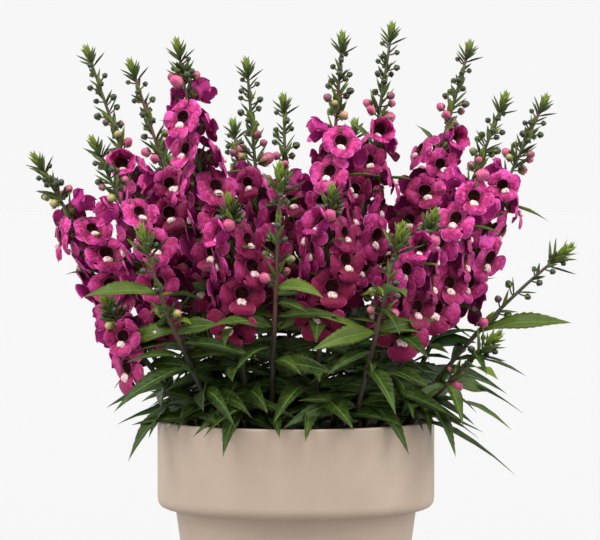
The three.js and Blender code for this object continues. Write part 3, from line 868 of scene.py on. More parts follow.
leaf_skin.feed("Roughness", 0.36 + 0.16 * mottle + 0.3 * under)
leaf_skin.bump(veins * -0.6 - midrib + mottle * 0.3, 0.5, 0.0006)


def meets_pot(point):
    """Whether a point is in the potting mix or the pot, or closer to them than POT_ROOM."""
    radius = math.hypot(point.x, point.y)
    height = SOIL_TOP if radius < COLLAR_RADIUS - WALL - POT_ROOM else POT_HEIGHT
    return radius < COLLAR_RADIUS + POT_ROOM and point.z < height + POT_ROOM


def over_rim(root, along, length, sag):
    """The direction in which a leaf leaves root, raised until its middle line is clear of the pot."""
    way = along.normalized()
    for _ in range(MOST_RAISES):
        line = [root + way * length * share - UP * sag * length * share ** 2 for share in CHECKED_SHARES]
        if not any(meets_pot(point) for point in line):
            break
        way = (way + UP * POT_RAISE).normalized()
    return way


def add_blade(seats, kind, root, along, facing, length, width, **values):
    """A leaf or bract that leaves root along `along`, with its upper side towards `facing`."""
    side = along.cross(facing).normalized()
    face = side.cross(along)
    seats.add(
        root, kind=kind, turn=frame_of(side, along, face),
        span=(width * MM, length * MM, width * MM), **values)


def add_leaf(seats, stem_place, out, facing, lift, sag, length, width, **values):
    """A leaf on the level side `out` of the stem. It starts raised by `lift`, and its end hangs by
    the share `sag` of its length."""
    along = over_rim(stem_place.point, out + UP * lift, length, sag)
    add_blade(
        seats, LEAF, stem_place.point, along, facing.normalized(), length, width,
        drop=sag * length * MM, **values)


def leaf_tone(shoot, share, rise):
    """How pale a leaf is, from 0 low down: higher leaves are painted paler as sunlit and low ones stay dark
    as painted shade. Those of a young stem also turn pale towards its tip.
    """
    if "blooms" in shoot:
        return FLOWERING_LEAF_LIGHT_BY_HEIGHT * rise
    return max(YOUNG_STEM_LEAF_LIGHT_BY_HEIGHT * rise, YOUNG_LEAF_TONE * share ** 2)


def add_leaves(seats, shoot, stem):
    """The leaf pairs. Leaves that point away from the middle of the plant are the longest."""
    for pair, share in enumerate(leaf_shares(shoot, stem)):
        stem_place = stem.at(share)
        rise = min((share * stem.height - SUNK) / TOP_LEAF_HEIGHT, 1)
        for half in range(2):
            k = 2 * pair + half
            turn = shoot["turn"] + 90 * pair + 180 * half + LEAF_TURN * spread(k, 1)
            out = level(stem_place.towards(turn))
            length = shoot.get("leaf", 1) * LEAF_LENGTH * lerp(*LEAF_SPAN, rise)
            length *= lerp(INWARD_LEAF, 1, (out.dot(stem.outward) + 1) / 2)
            length *= about(1, LENGTH_SWING, k, 10)
            add_leaf(
                seats, stem_place, out, UP + stem.outward * TURNED_OUT + FRONT * TURNED_FRONT,
                lift=about(lerp(*LEAF_LIFT, rise), LIFT_SWING, k, 12),
                sag=lerp(*LEAF_SAG, rise) * about(1, SAG_SWING, k, 11),
                length=length, width=LEAF_WIDTH * math.sqrt(length / LEAF_LENGTH),
                pick=k % len(LEAF_KINDS), tone=about(leaf_tone(shoot, share, rise), TONE_SWING, k, 5))


# Small leaves. Short side shoots start between the leaf pairs, and their leaves fill the bush from
# just above the potting mix up to the flowers. They stand closer and are narrower on young stems,
# and end lower on the flowering stems in front.

SMALL_LEAF_STEP = 10
YOUNG_LEAF_STEP = 7.5
SMALL_LEAF_START = 8
FRONT_LEAF_END = 0.72
SMALL_LEAF_LENGTH = (54, 22)
SMALL_LEAF_WIDTH = 12.5
YOUNG_LEAF_WIDTH = 8
SMALL_LEAF_LIFT = (0, 0.6)
SMALL_LEAF_SAG = (0.4, 0.15)
SMALL_LEAF_SIDE = 60
SMALL_LENGTH_SWING = 0.25
SMALL_LIFT_SWING = 0.4
SMALL_TONE_SWING = 0.35


def add_small_leaves(seats, shoot, stem):
    """Pairs of small leaves, a step apart and each a golden turn from the last."""
    start = (SUNK + SMALL_LEAF_START) / stem.height
    end = leaf_shares(shoot, stem)[-1]
    if "blooms" in shoot and stem.tip.y < 0:
        end *= FRONT_LEAF_END
    step = SMALL_LEAF_STEP if "blooms" in shoot else YOUNG_LEAF_STEP
    width = SMALL_LEAF_WIDTH if "blooms" in shoot else YOUNG_LEAF_WIDTH
    count = int((end - start) * stem.height / step)
    for k in range(count):
        share = lerp(start, end, k / count)
        stem_place = stem.at(share)
        rise = min((stem_place.point.z - SOIL_TOP) / TOP_LEAF_HEIGHT, 1)
        for half in range(2):
            turn = GOLDEN_TURN * k + shoot["turn"] + 180 * half + SMALL_LEAF_SIDE
            length = lerp(*SMALL_LEAF_LENGTH, rise) * about(1, SMALL_LENGTH_SWING, k + half, 12)
            add_leaf(
                seats, stem_place, level(stem_place.towards(turn)), UP + stem.outward * TURNED_OUT,
                lift=about(lerp(*SMALL_LEAF_LIFT, rise), SMALL_LIFT_SWING, k + 3 * half, 18),
                sag=lerp(*SMALL_LEAF_SAG, rise) * about(1, SAG_SWING, k + half, 13),
                length=length, width=width * math.sqrt(length / SMALL_LEAF_LENGTH[0]),
                pick=len(LEAF_KINDS) + (k + half) % len(LEAF_KINDS),
                tone=about(leaf_tone(shoot, share, rise), SMALL_TONE_SWING, k, 14))


# Bracts. Under each bud and flower stands a small pointed leaf, and a close tuft of them hides the
# growing tip of every stem. The freshest, in the tufts, are a light yellowish green.

BRACT_LENGTH = 10
BRACT_WIDTH = 3.2
BRACT_FOLD = 0.22
BRACT_BOW = 0.25
BRACT_HALF_THICK = 0.06
BRACT_ROWS = ((0, 0.0), (0.1, 0.5), (0.35, 1.0), (0.6, 0.85), (0.82, 0.42), (1, 0.0))
BRACT_COLUMNS = (-1, 0, 1)
BRACT_FACING = 0.5
BRACT_TONE_SWING = 0.6
BUD_BRACT_DARKER = 0.3
BUD_BRACT = (7.5, 15)
FLOWER_BRACT = 15
# How far these two open in degrees, and how far that swings.
BUD_BRACT_OPEN = (42, 14)
FLOWER_BRACT_OPEN = (34, 10)
# A tuft goes from its lowest bract to its highest: their distance from the tip, how far they open
# in degrees, their length and their tone. The tuft of a shoot without flowers is larger and paler.
TUFT_BRACTS = 15
TUFT_SUNK = (11, 3.2)
TUFT_OPEN = (60, 16)
TUFT_LENGTH = (11, 6.8)
TUFT_TONE = (-0.8, 1.2)
TUFT_TONE_SWING = 0.5
YOUNG_TUFT = 1.5
YOUNG_TUFT_TONE = 0.25
OLD_BRACT = (34, 46, 22)
FRESH_BRACT = (106, 124, 42)
BRACT_TIP = (66, 56, 34)
BRACT_MIDLINE = (112, 128, 66)


def bract_mesh():
    """One bract, a unit long and a unit wide, folded and bowed upwards."""
    def point(along, width, across, side):
        rise = BRACT_FOLD * abs(across) * width + BRACT_BOW * along * along
        return (across * width / 2, along, rise + half_gap(BRACT_HALF_THICK, across, width, side))

    shape = new_shape()
    sheet(shape, BRACT_ROWS, BRACT_COLUMNS, point)
    return mesh_from(shape, "bract")


bract_skin = Finish("bract", Roughness=0.5, Specular_IOR_Level=0.2)
across, along = bract_skin.parts("grain")[:2]
midline = 1 - abs(across).within(0.05, 0.3)
bract_skin.coat(
    OLD_BRACT,
    (bract_skin.value("tone").within(-1.0, 1.0), FRESH_BRACT),
    (along.within(0.75, 1.0) * 0.5, BRACT_TIP),
    (midline * 0.25, BRACT_MIDLINE))


def add_bract(seats, stem_place, out, opening, length, tone):
    """A bract that leaves the stem on the side `out`, opened by an angle in degrees."""
    angle = math.radians(opening)
    along = stem_place.along * math.cos(angle) + out * math.sin(angle)
    width = BRACT_WIDTH * math.sqrt(length / BRACT_LENGTH)
    facing = stem_place.along * BRACT_FACING - out
    add_blade(seats, BRACT, stem_place.point, along, facing, length, width, tone=tone)


def add_tuft(seats, shoot, stem):
    """The bracts round the growing tip, shorter and closer together towards it."""
    scale, paler = (1, 0) if "blooms" in shoot else (YOUNG_TUFT, YOUNG_TUFT_TONE)
    for k in range(TUFT_BRACTS):
        share = k / (TUFT_BRACTS - 1)
        stem_place = stem.at(stem.below_tip(lerp(TUFT_SUNK[0] * scale, TUFT_SUNK[1], share)))
        length = lerp(TUFT_LENGTH[0] * scale, TUFT_LENGTH[1], share)
        tone = about(lerp(*TUFT_TONE, share), TUFT_TONE_SWING, k, 6) + paler
        out = stem_place.towards(GOLDEN_TURN * k)
        add_bract(seats, stem_place, out, lerp(*TUFT_OPEN, share), length, tone)


# Buds. Round buds stand on thin stalks above the flowers. The highest are hard, dark and green,
# and the lowest swell and turn pink or cream before they open. Five sepals clasp each one.

BUD_RADIUS = 2.6
BUD_LENGTH = 11
BUD_LIFT = 0.4
BUD_TONE_SWING = 0.8
# Where the middle of a bud and the end of its stalk lie, in radii of the bud.
BUD_MIDDLE = 1.15
BUD_FOOT_DEPTH = 0.8
BUD_STALK_SAG = 0.5
UNRIPE_BUD = 0.85
HIGHEST_BUD = 0.7
ABOVE_BLOOMS = 0.04
LOWEST_BUD_AT = 0.62
HIGHEST_BUD_AT = 0.92
PAIRED_BUD = 0.84
PAIRED_BUD_RISE = 2.2
PAIRED_BUD_AGE = 0.9
YOUNG_STEM_RIPEST = 0.9
OPENING_SWELL = 0.4
OPENING_STRETCH = 0.3
YOUNG_BUDS = 4
YOUNG_BUD = 0.55
YOUNG_BUDS_AT = 0.9
YOUNG_BUDS_END = 8
YOUNG_BUDS_TURN = 60
YOUNG_BUD_AGE = 0.1
BUD_RINGS = 7
BUD_SIDES = 10
BUD_CREASE = 0.12
BUD_POINT = 1.12
BUD_FOOT = 0.95
STALK_RADIUS = 0.45
STALK_STEPS = 5
SEPALS = 5
SEPAL_ROWS = ((0, 0.0), (0.2, 0.9), (0.6, 0.75), (1, 0.0))
SEPAL_REACH = (0.1, 1.75)
SEPAL_CLEAR = 1.06
SEPAL_FLARE = 0.22
SEPAL_HALF_THICK = 0.03
RIPE_FROM = 0.8
RIPE_SPAN = 0.2
# A ripe bud is pink below these tones and cream above them.
CREAM_TONES = (0.1, 0.3)
HARD_BUD = (26, 32, 24)
GREEN_BUD = (50, 60, 38)
PINK_BUD = (168, 58, 104)
PALE_PINK_BUD = (178, 104, 118)
MAGENTA_TIP = (158, 28, 96)
CREAM_BUD_FOOT = (84, 98, 46)
CREAM_BUD = (160, 136, 84)


def bud_mesh():
    """A globe of radius 1 whose stalk comes from -y, a little pointed at its far end."""
    shape = new_shape()
    angles = [math.pi * k / BUD_RINGS for k in range(BUD_RINGS + 1)]
    turned(shape, [(math.sin(angle), -math.cos(angle)) for angle in angles], BUD_SIDES)
    grain = shape.verts.layers.float_vector["grain"]
    for corner in shape.verts:
        x, y, z = corner.co
        around = math.atan2(y, x)
        crease = 1 - BUD_CREASE * abs(math.sin(SEPALS / 2 * around)) * (1 - z * z)
        corner.co = (x * crease, z * (BUD_POINT if z > 0 else BUD_FOOT), y * crease)
        corner[grain] = (math.sin(around), z, 0)
    return mesh_from(shape, "bud")


def sepals_mesh():
    """Five pointed sepals round the stalk end of a globe of radius 1."""
    shape = new_shape()
    for k in range(SEPALS):
        middle = 2 * math.pi * k / SEPALS

        def point(along, width, across, side):
            polar = lerp(*SEPAL_REACH, along)
            around = middle + across * width * 0.5
            radius = SEPAL_CLEAR + SEPAL_FLARE * along * along
            radius += half_gap(SEPAL_HALF_THICK, across, width, side)
            return (
                radius * math.sin(polar) * math.cos(around),
                -radius * math.cos(polar),
                radius * math.sin(polar) * math.sin(around))

        sheet(shape, SEPAL_ROWS, BRACT_COLUMNS, point)
    return mesh_from(shape, "sepals")


bud_skin = Finish("bud", Roughness=0.5)
up = bud_skin.parts("grain")[1]
fleck = bud_skin.graph.noise(bud_skin.place(), 900, 2)
flecked = fleck.within(0.35, 0.65)
pink_bud = bud_skin.graph.layers(
    PINK_BUD, (flecked, PALE_PINK_BUD), (up.within(0.0, 1.0) * 0.7, MAGENTA_TIP))
cream_bud = bud_skin.graph.layers(CREAM_BUD_FOOT, (up.within(0.2, 1.0), CREAM_BUD))
ripe_bud = bud_skin.graph.layers(pink_bud, (bud_skin.value("tone").within(*CREAM_TONES), cream_bud))
bud_skin.coat(HARD_BUD, (flecked, GREEN_BUD), (bud_skin.value("age").within(0.55, 0.8), ripe_bud))
bud_skin.bump(fleck, 0.3, 0.0003)


def add_stalk(seats, start, end, bend, radius):
    """A thin stalk from a stem to what it carries, bent by `bend` at its middle."""
    points = []
    for step in range(STALK_STEPS):
        share = step / (STALK_STEPS - 1)
        points.append(start.lerp(end, share) + bend * (4 * share * (1 - share)))
    seats.rod(points, [radius] * STALK_STEPS)


def add_bud(seats, stem_place, out, size, age):
    """A bud with its stalk and its bract. A pink one that is ripe swells and grows longer."""
    along = (out + stem_place.along * BUD_LIFT).normalized()
    length = BUD_LENGTH * size
    k = round(stem_place.point.z)
    tone = BUD_TONE_SWING * spread(k, 15)
    ripe = max(0, age - RIPE_FROM) / RIPE_SPAN if tone < CREAM_TONES[0] else 0
    radius = BUD_RADIUS * size * lerp(UNRIPE_BUD, 1.0, age) * (1 + OPENING_SWELL * ripe)
    stretch = 1 + OPENING_STRETCH * ripe
    centre = stem_place.point + along * (length - BUD_MIDDLE * radius)
    side = along.cross(UP).normalized()
    seats.add(
        centre, kind=BUD, turn=frame_of(side, along, side.cross(along)),
        span=(radius * MM, radius * stretch * MM, radius * MM), age=age, tone=tone)
    foot = centre - along * BUD_FOOT_DEPTH * radius
    add_stalk(seats, stem_place.point, foot, stem_place.along * -BUD_STALK_SAG, STALK_RADIUS)
    bract_tone = BRACT_TONE_SWING * spread(k, 21) - BUD_BRACT_DARKER
    opening = about(*BUD_BRACT_OPEN, k, 7)
    add_bract(seats, stem_place, out, opening, lerp(*BUD_BRACT, age), bract_tone)


def add_buds(seats, shoot, stem):
    """The buds, each with a smaller one opposite it, and a run of young ones up to the tuft."""
    start = shoot["to"] + ABOVE_BLOOMS if "blooms" in shoot else LOWEST_BUD_AT
    ripest = 1.0 if "blooms" in shoot else YOUNG_STEM_RIPEST
    for k in range(shoot["buds"]):
        age = (shoot["buds"] - k) / shoot["buds"]
        share = lerp(start, HIGHEST_BUD_AT, k / shoot["buds"])
        turn = shoot["turn"] + GOLDEN_TURN * k
        size = lerp(HIGHEST_BUD, 1, age)
        add_bud(seats, stem.at(share), stem.at(share).towards(turn), size, age * ripest)
        above = stem.at(share + PAIRED_BUD_RISE / stem.height)
        add_bud(
            seats, above, above.towards(turn + 180), size * PAIRED_BUD, PAIRED_BUD_AGE * age * ripest)
    top = stem.below_tip(YOUNG_BUDS_END)
    for k in range(YOUNG_BUDS):
        stem_place = stem.at(lerp(YOUNG_BUDS_AT, top, k / YOUNG_BUDS))
        out = stem_place.towards(shoot["turn"] + YOUNG_BUDS_TURN + GOLDEN_TURN * k)
        size = lerp(HIGHEST_BUD, YOUNG_BUD, k / YOUNG_BUDS)
        add_bud(seats, stem_place, out, size, YOUNG_BUD_AGE)


# Flowers. They wind up each stem on short stalks. Each has five velvety magenta lobes round a dark
# speckled throat, which bulges into a sac behind, and a pale forked tooth on the lip below it.

BLOOM_REACH = 13.0
BLOOM_RISE = 3.5
BLOOM_ROOT = 1.5
BLOOM_TURN = 10
HIGHEST_BLOOM = 0.82
FACE_LIFT = 0.14
FACE_SWING = 0.3
FACE_TURN = 0.42
BLOOM_ROLL = 24
BLOOM_SWING = 0.1
TOP_BLOOM_REACH = 0.72
INNER_BLOOM = 0.92
INNER_REACH = 0.86
CALYX_DEPTH = 8.2
CALYX_RADIUS = 5.6
CALYX_FOOT_RADIUS = 0.4
CALYX_HALF_WIDTH = 1.3
CALYX_FRONT = -4.4
# A leaf-like bract stands beside every third kind of flower.
LEAFY_BRACT_EACH = 3
LEAFY_BRACT_TURN = 76
LEAFY_BRACT_LENGTH = 26
LEAFY_BRACT_SWING = 0.3
LEAFY_BRACT_WIDTH = 6.5
LEAFY_BRACT_SAG = 0.25
# How far it rises, and its tone, each with its swing.
LEAFY_BRACT_LIFT = (0.7, 0.4)
LEAFY_BRACT_TONE = (1, 0.4)
LOBE_START = 4.0
THROAT_RISE = 0.8

# Each lobe: its angle round the throat, reach, width, tilt forwards at its end, curl backwards of
# its end, twist and how far it stands in front of the others.
FLOWER_LOBES = (
    (56, 12.8, 12.8, -1.2, 2.4, 0.8, -0.6),
    (126, 12.6, 12.6, -1.0, 2.6, -0.7, -0.3),
    (342, 14.2, 14.0, 1.8, 3.0, 1.1, 0.0),
    (198, 14.2, 14.0, 2.0, 3.2, -1.2, 0.2),
    (270, 15.0, 15.2, 5.6, 4.6, 0.0, 0.5))
LOBE_ROWS = (0, 0.2, 0.42, 0.62, 0.8, 0.93, 1)
LOBE_COLUMNS = (-1, -0.55, 0, 0.55, 1)
PETAL_HALF_THICK = 0.2
LOBE_FOOT_WIDTH = 0.5
LOBE_WIDEST_AT = 0.55
CLOSED_REACH = 0.55
# How much each lobe differs: its angle in degrees, its bend forwards, its fold along the middle
# with the fold's swing, its uneven end, and the two runs of waves in it.
LOBE_TURN_SWING = 5
LOBE_BEND = 1.5
LOBE_FOLD = (1.4, 0.9)
LOBE_UNEVEN = 0.55
LOBE_WAVES = (0.9, 0.5)
# Each kind of flower: how far its lobes close, and how its ruffles begin. The last is the topmost.
FLOWER_KINDS = ((0.0, 0.3), (0.14, 2.1), (-0.12, 4.0), (0.22, 5.2), (0.05, 1.2), (0.75, 3.1))
SAC_OUTLINE = (
    (0, -7.8), (2.3, -7.3), (4.2, -5.6), (5.2, -3.0), (5.1, -0.8), (4.7, 0.5),
    (4.3, 0.5), (4.2, -1.4), (3.7, -3.8), (2.2, -5.4), (0, -6.0))
SAC_SIDES = 12
SAC_INSIDE_RADIUS = 4.4
SAC_INSIDE_END = -6.1
SAC_DROOP = 0.16
THROAT_DEPTH = 6
TOOTH_HALF_SIZE = (2.9, 2.7, 1.7)
TOOTH_PLACE = (-4.8, 2.0)
CALYX_ROWS = ((0, 0.0), (0.25, 1.0), (0.65, 0.7), (1, 0.0))
FLOWER_STALK_RADIUS = STALK_RADIUS * 1.3
FLOWER_STALK_RISE = 0.8
# A petal is painted the brighter, as sunlit, the higher it is and the farther from the middle of the
# plant, and darker as painted shade low and inside the bush. It brightens between these heights and
# these distances, in metres.
LIT_HEIGHTS = (0.17, 0.31)
LIT_DISTANCES = (0.05, 0.12)
# How much its own tone, its height and its distance count, what is taken off their sum, and the
# sums between which a petal goes from shaded to sunlit.
BY_TONE = 0.8
BY_HEIGHT = 2.2
BY_DISTANCE = 1.4
DIMMED = 1.35
SHADED_TO_SUNLIT = (-1.1, 1.3)
SHEEN = (255, 180, 225)
SHADED_LOBE = (94, 6, 36)
SUNLIT_LOBE = (184, 46, 114)
# The violet ends of the lobes, shown only where a petal is painted sunlit.
VIOLET_SUNLIT_LOBE_END = (180, 60, 146)
DARK_CLOUD = (104, 6, 52)
# Painted shade in the crinkles of a petal, and a painted highlight on their ridges where it is sunlit.
PAINTED_CREASE_SHADE = (86, 4, 42)
PAINTED_RIDGE_HIGHLIGHT = (216, 92, 168)
LOBE_FOOT = (78, 4, 38)
# Painted highlight patches, shown only where a petal is sunlit.
PAINTED_HIGHLIGHT_PATCH = (206, 84, 168)
# A lobe's margin, a little pale of its own and paler with a painted highlight where sunlit.
PALE_AND_HIGHLIT_EDGE = (214, 100, 176)
SPECKLE = (58, 3, 28)
THROAT_BROWN = (34, 8, 16)
THROAT_SPECK = (112, 52, 44)
THROAT_RIM = (150, 62, 100)
SHADED_BACK = (96, 12, 54)
SUNLIT_BACK = (152, 34, 108)
TOOTH_CREAM = (212, 196, 174)
TOOTH_BLUSH = (188, 118, 154)


def lobe_width(along):
    """How wide a lobe is at a share of its length, against its widest, and round at its end."""
    if along < LOBE_WIDEST_AT:
        return lerp(LOBE_FOOT_WIDTH, 1.0, math.sin(math.pi / 2 * along / LOBE_WIDEST_AT))
    return math.sqrt(max(0, 1 - ((along - LOBE_WIDEST_AT) / (1 - LOBE_WIDEST_AT)) ** 2))


def add_lobe(shape, closing, ruffle, turn, reach, width, tilt, curl, twist, stand):
    """One lobe. It closes over the throat by the share `closing`, and `ruffle` starts its waves."""
    angle = math.radians(turn + LOBE_TURN_SWING * math.sin(5 * ruffle + turn))
    wave = ruffle + turn
    bend = LOBE_BEND * math.sin(3 * ruffle + turn)
    fold = LOBE_FOLD[0] + LOBE_FOLD[1] * math.sin(2 * ruffle + 3 * turn)

    def point(along, share, across, side):
        distance = lerp(LOBE_START, lerp(reach, CLOSED_REACH * reach, closing), along)
        distance += LOBE_UNEVEN * along * math.sin(5 * across + 2 * wave)
        sideways = across * share * width / 2
        waves = LOBE_WAVES[0] * along * math.sin(3.6 * across + wave)
        waves += LOBE_WAVES[1] * math.sin(6 * along + 2 * wave)
        depth = stand + (lerp(tilt, reach, closing) + bend) * along - (curl + bend) * along ** 3
        depth += twist * across * along - fold * share * across ** 2
        depth += waves * (0.25 + 0.75 * abs(across))
        depth += half_gap(PETAL_HALF_THICK, across, share, side)
        x, y = swung(distance, sideways, angle)
        return (x, y + THROAT_RISE, depth)

    rows = [(along, lobe_width(along)) for along in LOBE_ROWS[:-1]]
    sheet(shape, rows + [(1, 0.0)], LOBE_COLUMNS, point)


def corolla_mesh(name, closing, ruffle):
    """The five lobes and the sac behind them, whose inside is the throat."""
    shape = new_shape()
    for lobe in FLOWER_LOBES:
        add_lobe(shape, closing, ruffle, *lobe)
    grain = shape.verts.layers.float_vector["grain"]
    lobes = set(shape.verts)
    turned(shape, SAC_OUTLINE, SAC_SIDES)
    for corner in shape.verts:
        if corner not in lobes:
            x, y, z = corner.co
            inside = math.hypot(x, y) < SAC_INSIDE_RADIUS and z > SAC_INSIDE_END
            corner[grain] = (0, min(z, 0) / THROAT_DEPTH, 0 if inside else 1)
            corner.co.y += THROAT_RISE + SAC_DROOP * min(z, 0)
    return mesh_from(shape, name)


def tooth_mesh():
    """The pale forked tooth on the lip."""
    shape = new_shape()
    bmesh.ops.create_icosphere(shape, subdivisions=2, radius=1)
    half_width, half_height, half_depth = TOOTH_HALF_SIZE
    low, front = TOOTH_PLACE
    for corner in shape.verts:
        x, y, z = corner.co
        fork = 0.55 * max(0, -y) * (1 - min(1, abs(x) * 1.6))
        ragged = 1 + 0.16 * math.sin(7 * x + 2) * math.sin(6 * z + 5 * y)
        corner.co = (
            half_width * ragged * x * (1 - 0.25 * y),
            half_height * ragged * y + 2.8 * fork + low,
            half_depth * ragged * z + front - 0.45 * y)
    return mesh_from(shape, "tooth")


def calyx_mesh():
    """Five pointed sepals behind the sac."""
    shape = new_shape()
    for k in range(SEPALS):
        angle = math.radians(90 + 360 / SEPALS * k)

        def point(along, width, across, side):
            distance = lerp(CALYX_FOOT_RADIUS, CALYX_RADIUS, along)
            sideways = across * width * CALYX_HALF_WIDTH
            depth = lerp(-CALYX_DEPTH, CALYX_FRONT, along ** 1.5)
            depth += half_gap(PETAL_HALF_THICK, across, width, side)
            return (*swung(distance, sideways, angle), depth)

        sheet(shape, CALYX_ROWS, BRACT_COLUMNS, point)
    return mesh_from(shape, "calyx")


petal_skin = Finish("velvety petal", Roughness=0.5, Specular_IOR_Level=0.12, Sheen_Weight=0.03)
petal_skin.feed("Sheen Tint", shade(*SHEEN))
across, along, under = petal_skin.parts("grain")
place = petal_skin.place()
cloud = petal_skin.graph.noise(place, 150, 3)
crinkle = petal_skin.graph.noise(place, 520, 3, 0.6)
flat_place = place * (1.0, 1.0, 0.0)
distance = flat_place.math("LENGTH", flat_place).of("Value")
# Painted light: a sum that makes petals sunlit high and outside, and shaded low and inside the bush.
bright = BY_TONE * petal_skin.value("tone") + BY_HEIGHT * place.axis("Z").within(*LIT_HEIGHTS)
bright = bright + BY_DISTANCE * distance.within(*LIT_DISTANCES) - DIMMED
lit = bright.within(*SHADED_TO_SUNLIT)
# The lobe's margin: a little pale of its own, and a painted highlight where the petal is sunlit.
pale_and_highlit_edge = (along.within(0.92, 1.0) + abs(across).within(0.88, 1.0)).at_most(1.0)
speckle = petal_skin.graph.noise(place, 1500, 2).within(0.5, 0.56)
lobe = petal_skin.graph.layers(
    SHADED_LOBE,
    (lit, SUNLIT_LOBE),
    # Violet lobe ends, shown only where the petal is painted sunlit.
    (along.within(0.45, 1.0) * lit * 0.6, VIOLET_SUNLIT_LOBE_END),
    (cloud.within(0.4, 0.68) * 0.75, DARK_CLOUD),
    # Painted shade in the crinkles, and a painted highlight on the ridges between them where sunlit.
    (crinkle.within(0.5, 0.68) * 0.5, PAINTED_CREASE_SHADE),
    ((1 - crinkle.within(0.34, 0.48)) * lit * 0.5, PAINTED_RIDGE_HIGHLIGHT),
    (1 - along.within(0.0, 0.35), LOBE_FOOT),
    # Painted highlight patches where the petal is sunlit.
    ((1 - cloud.within(0.32, 0.46)) * lit * 0.5, PAINTED_HIGHLIGHT_PATCH),
    (pale_and_highlit_edge * (0.15 + 0.55 * lit), PALE_AND_HIGHLIT_EDGE),
    (speckle * (1 - along.within(0.05, 0.32)) * 0.6, SPECKLE))
throat = petal_skin.graph.layers(
    THROAT_BROWN, (speckle * 0.6, THROAT_SPECK), (along.within(-0.08, -0.01) * 0.4, THROAT_RIM))
# The throat's edge is a little ragged, because the crinkle shifts it.
on_lobe = (along + 0.3 * crinkle - 0.15).within(-0.03, 0.03)
back = petal_skin.graph.layers(SHADED_BACK, (lit, SUNLIT_BACK))
petal_skin.coat(throat, (on_lobe, lobe), (under.within(0.4, 0.6), back))
petal_skin.bump(cloud + crinkle * 0.8, 0.7, 0.001)

tooth_skin = Finish("pale tooth", Roughness=0.5)
blush = tooth_skin.graph.noise(tooth_skin.place(), 900, 2)
tooth_skin.coat(TOOTH_CREAM, (blush.within(0.44, 0.62), TOOTH_BLUSH))
tooth_skin.bump(blush, 1.0, 0.0008)


def add_flower(seats, stem_place, out, size, reach, k, pick):
    """A flower with its stalk and its bract, on the side `out` of the stem and `reach` from it."""
    root = stem_place.point + out * BLOOM_ROOT
    centre = stem_place.point + out * reach + stem_place.along * BLOOM_RISE
    aside = UP.cross(out).normalized() * FACE_TURN * spread(k, 22)
    face = (out + aside + UP * about(FACE_LIFT, FACE_SWING, k, 3)).normalized()
    upright = (UP - face * UP.dot(face)).normalized()
    roll = math.radians(BLOOM_ROLL * spread(k, 4))
    upright = upright * math.cos(roll) + upright.cross(face) * math.sin(roll)
    broad, high = [size * about(1, BLOOM_SWING, k, row) for row in (19, 20)]
    seats.add(
        centre, kind=FLOWER, turn=frame_of(upright.cross(face), upright, face),
        span=(broad * MM, high * MM, size * MM), tone=spread(k, 8), pick=pick)
    calyx = centre - face * CALYX_DEPTH * size
    add_stalk(seats, root, calyx, stem_place.along * FLOWER_STALK_RISE, FLOWER_STALK_RADIUS)
    opening = about(*FLOWER_BRACT_OPEN, k, 16)
    add_bract(seats, stem_place, out, opening, FLOWER_BRACT, BRACT_TONE_SWING * spread(k, 17))
    if pick % LEAFY_BRACT_EACH == 0:
        along = (stem_place.towards(LEAFY_BRACT_TURN * k) + UP * about(*LEAFY_BRACT_LIFT, k, 23)).normalized()
        facing = (UP + stem_place.along - along * 0.5).normalized()
        length = LEAFY_BRACT_LENGTH * about(1, LEAFY_BRACT_SWING, k, 24)
        add_blade(
            seats, LEAF, stem_place.point, along, facing, length, LEAFY_BRACT_WIDTH,
            pick=pick % len(LEAF_KINDS), drop=LEAFY_BRACT_SAG * length * MM,
            tone=about(*LEAFY_BRACT_TONE, k, 25))


def add_flowers(seats, shoot, stem):
    """The flowers of a spike, with smaller ones a half step on and closer in that fill it."""
    last = shoot["blooms"] - 1
    open_kinds = len(FLOWER_KINDS) - 1
    for step in range(2 * last + 1):
        k = step / 2
        inner = step % 2 == 1
        topmost = step == 2 * last
        stem_place = stem.at(lerp(shoot["from"], shoot["to"], k / last))
        size = lerp(1, HIGHEST_BLOOM, k / last) * (INNER_BLOOM if inner else 1)
        reach = BLOOM_REACH * size * (INNER_REACH if inner else TOP_BLOOM_REACH if topmost else 1)
        turn = shoot["turn"] + GOLDEN_TURN * k
        turn += 180 if inner else BLOOM_TURN * spread(k, 2)
        pick = open_kinds if topmost else step % open_kinds
        add_flower(seats, stem_place, stem_place.towards(turn), size, reach, k, pick)


# The plant put together. One tree of nodes grows each leafy stem from its seats, and another grows
# the flowers of that stem.

ROD_SIDES = 7


def rods(grower, skin):
    """Tubes along the edges of the seats, as thick as the seats say."""
    graph = grower.graph
    curves = graph.add("GeometryNodeMeshToCurve", None, {"Mesh": grower.input()})
    circle = graph.add("GeometryNodeCurvePrimitiveCircle", None, {
        "Resolution": grower.input("Rod sides"), "Radius": 1.0})
    tubes = graph.add("GeometryNodeCurveToMesh", None, {
        "Curve": curves, "Profile Curve": circle, "Scale": grower.value("girth"), "Fill Caps": True})
    smooth = graph.add("GeometryNodeSetShadeSmooth", None, {"Geometry": tubes})
    return graph.add("GeometryNodeSetMaterial", None, {"Geometry": smooth, "Material": grower.input(skin)})


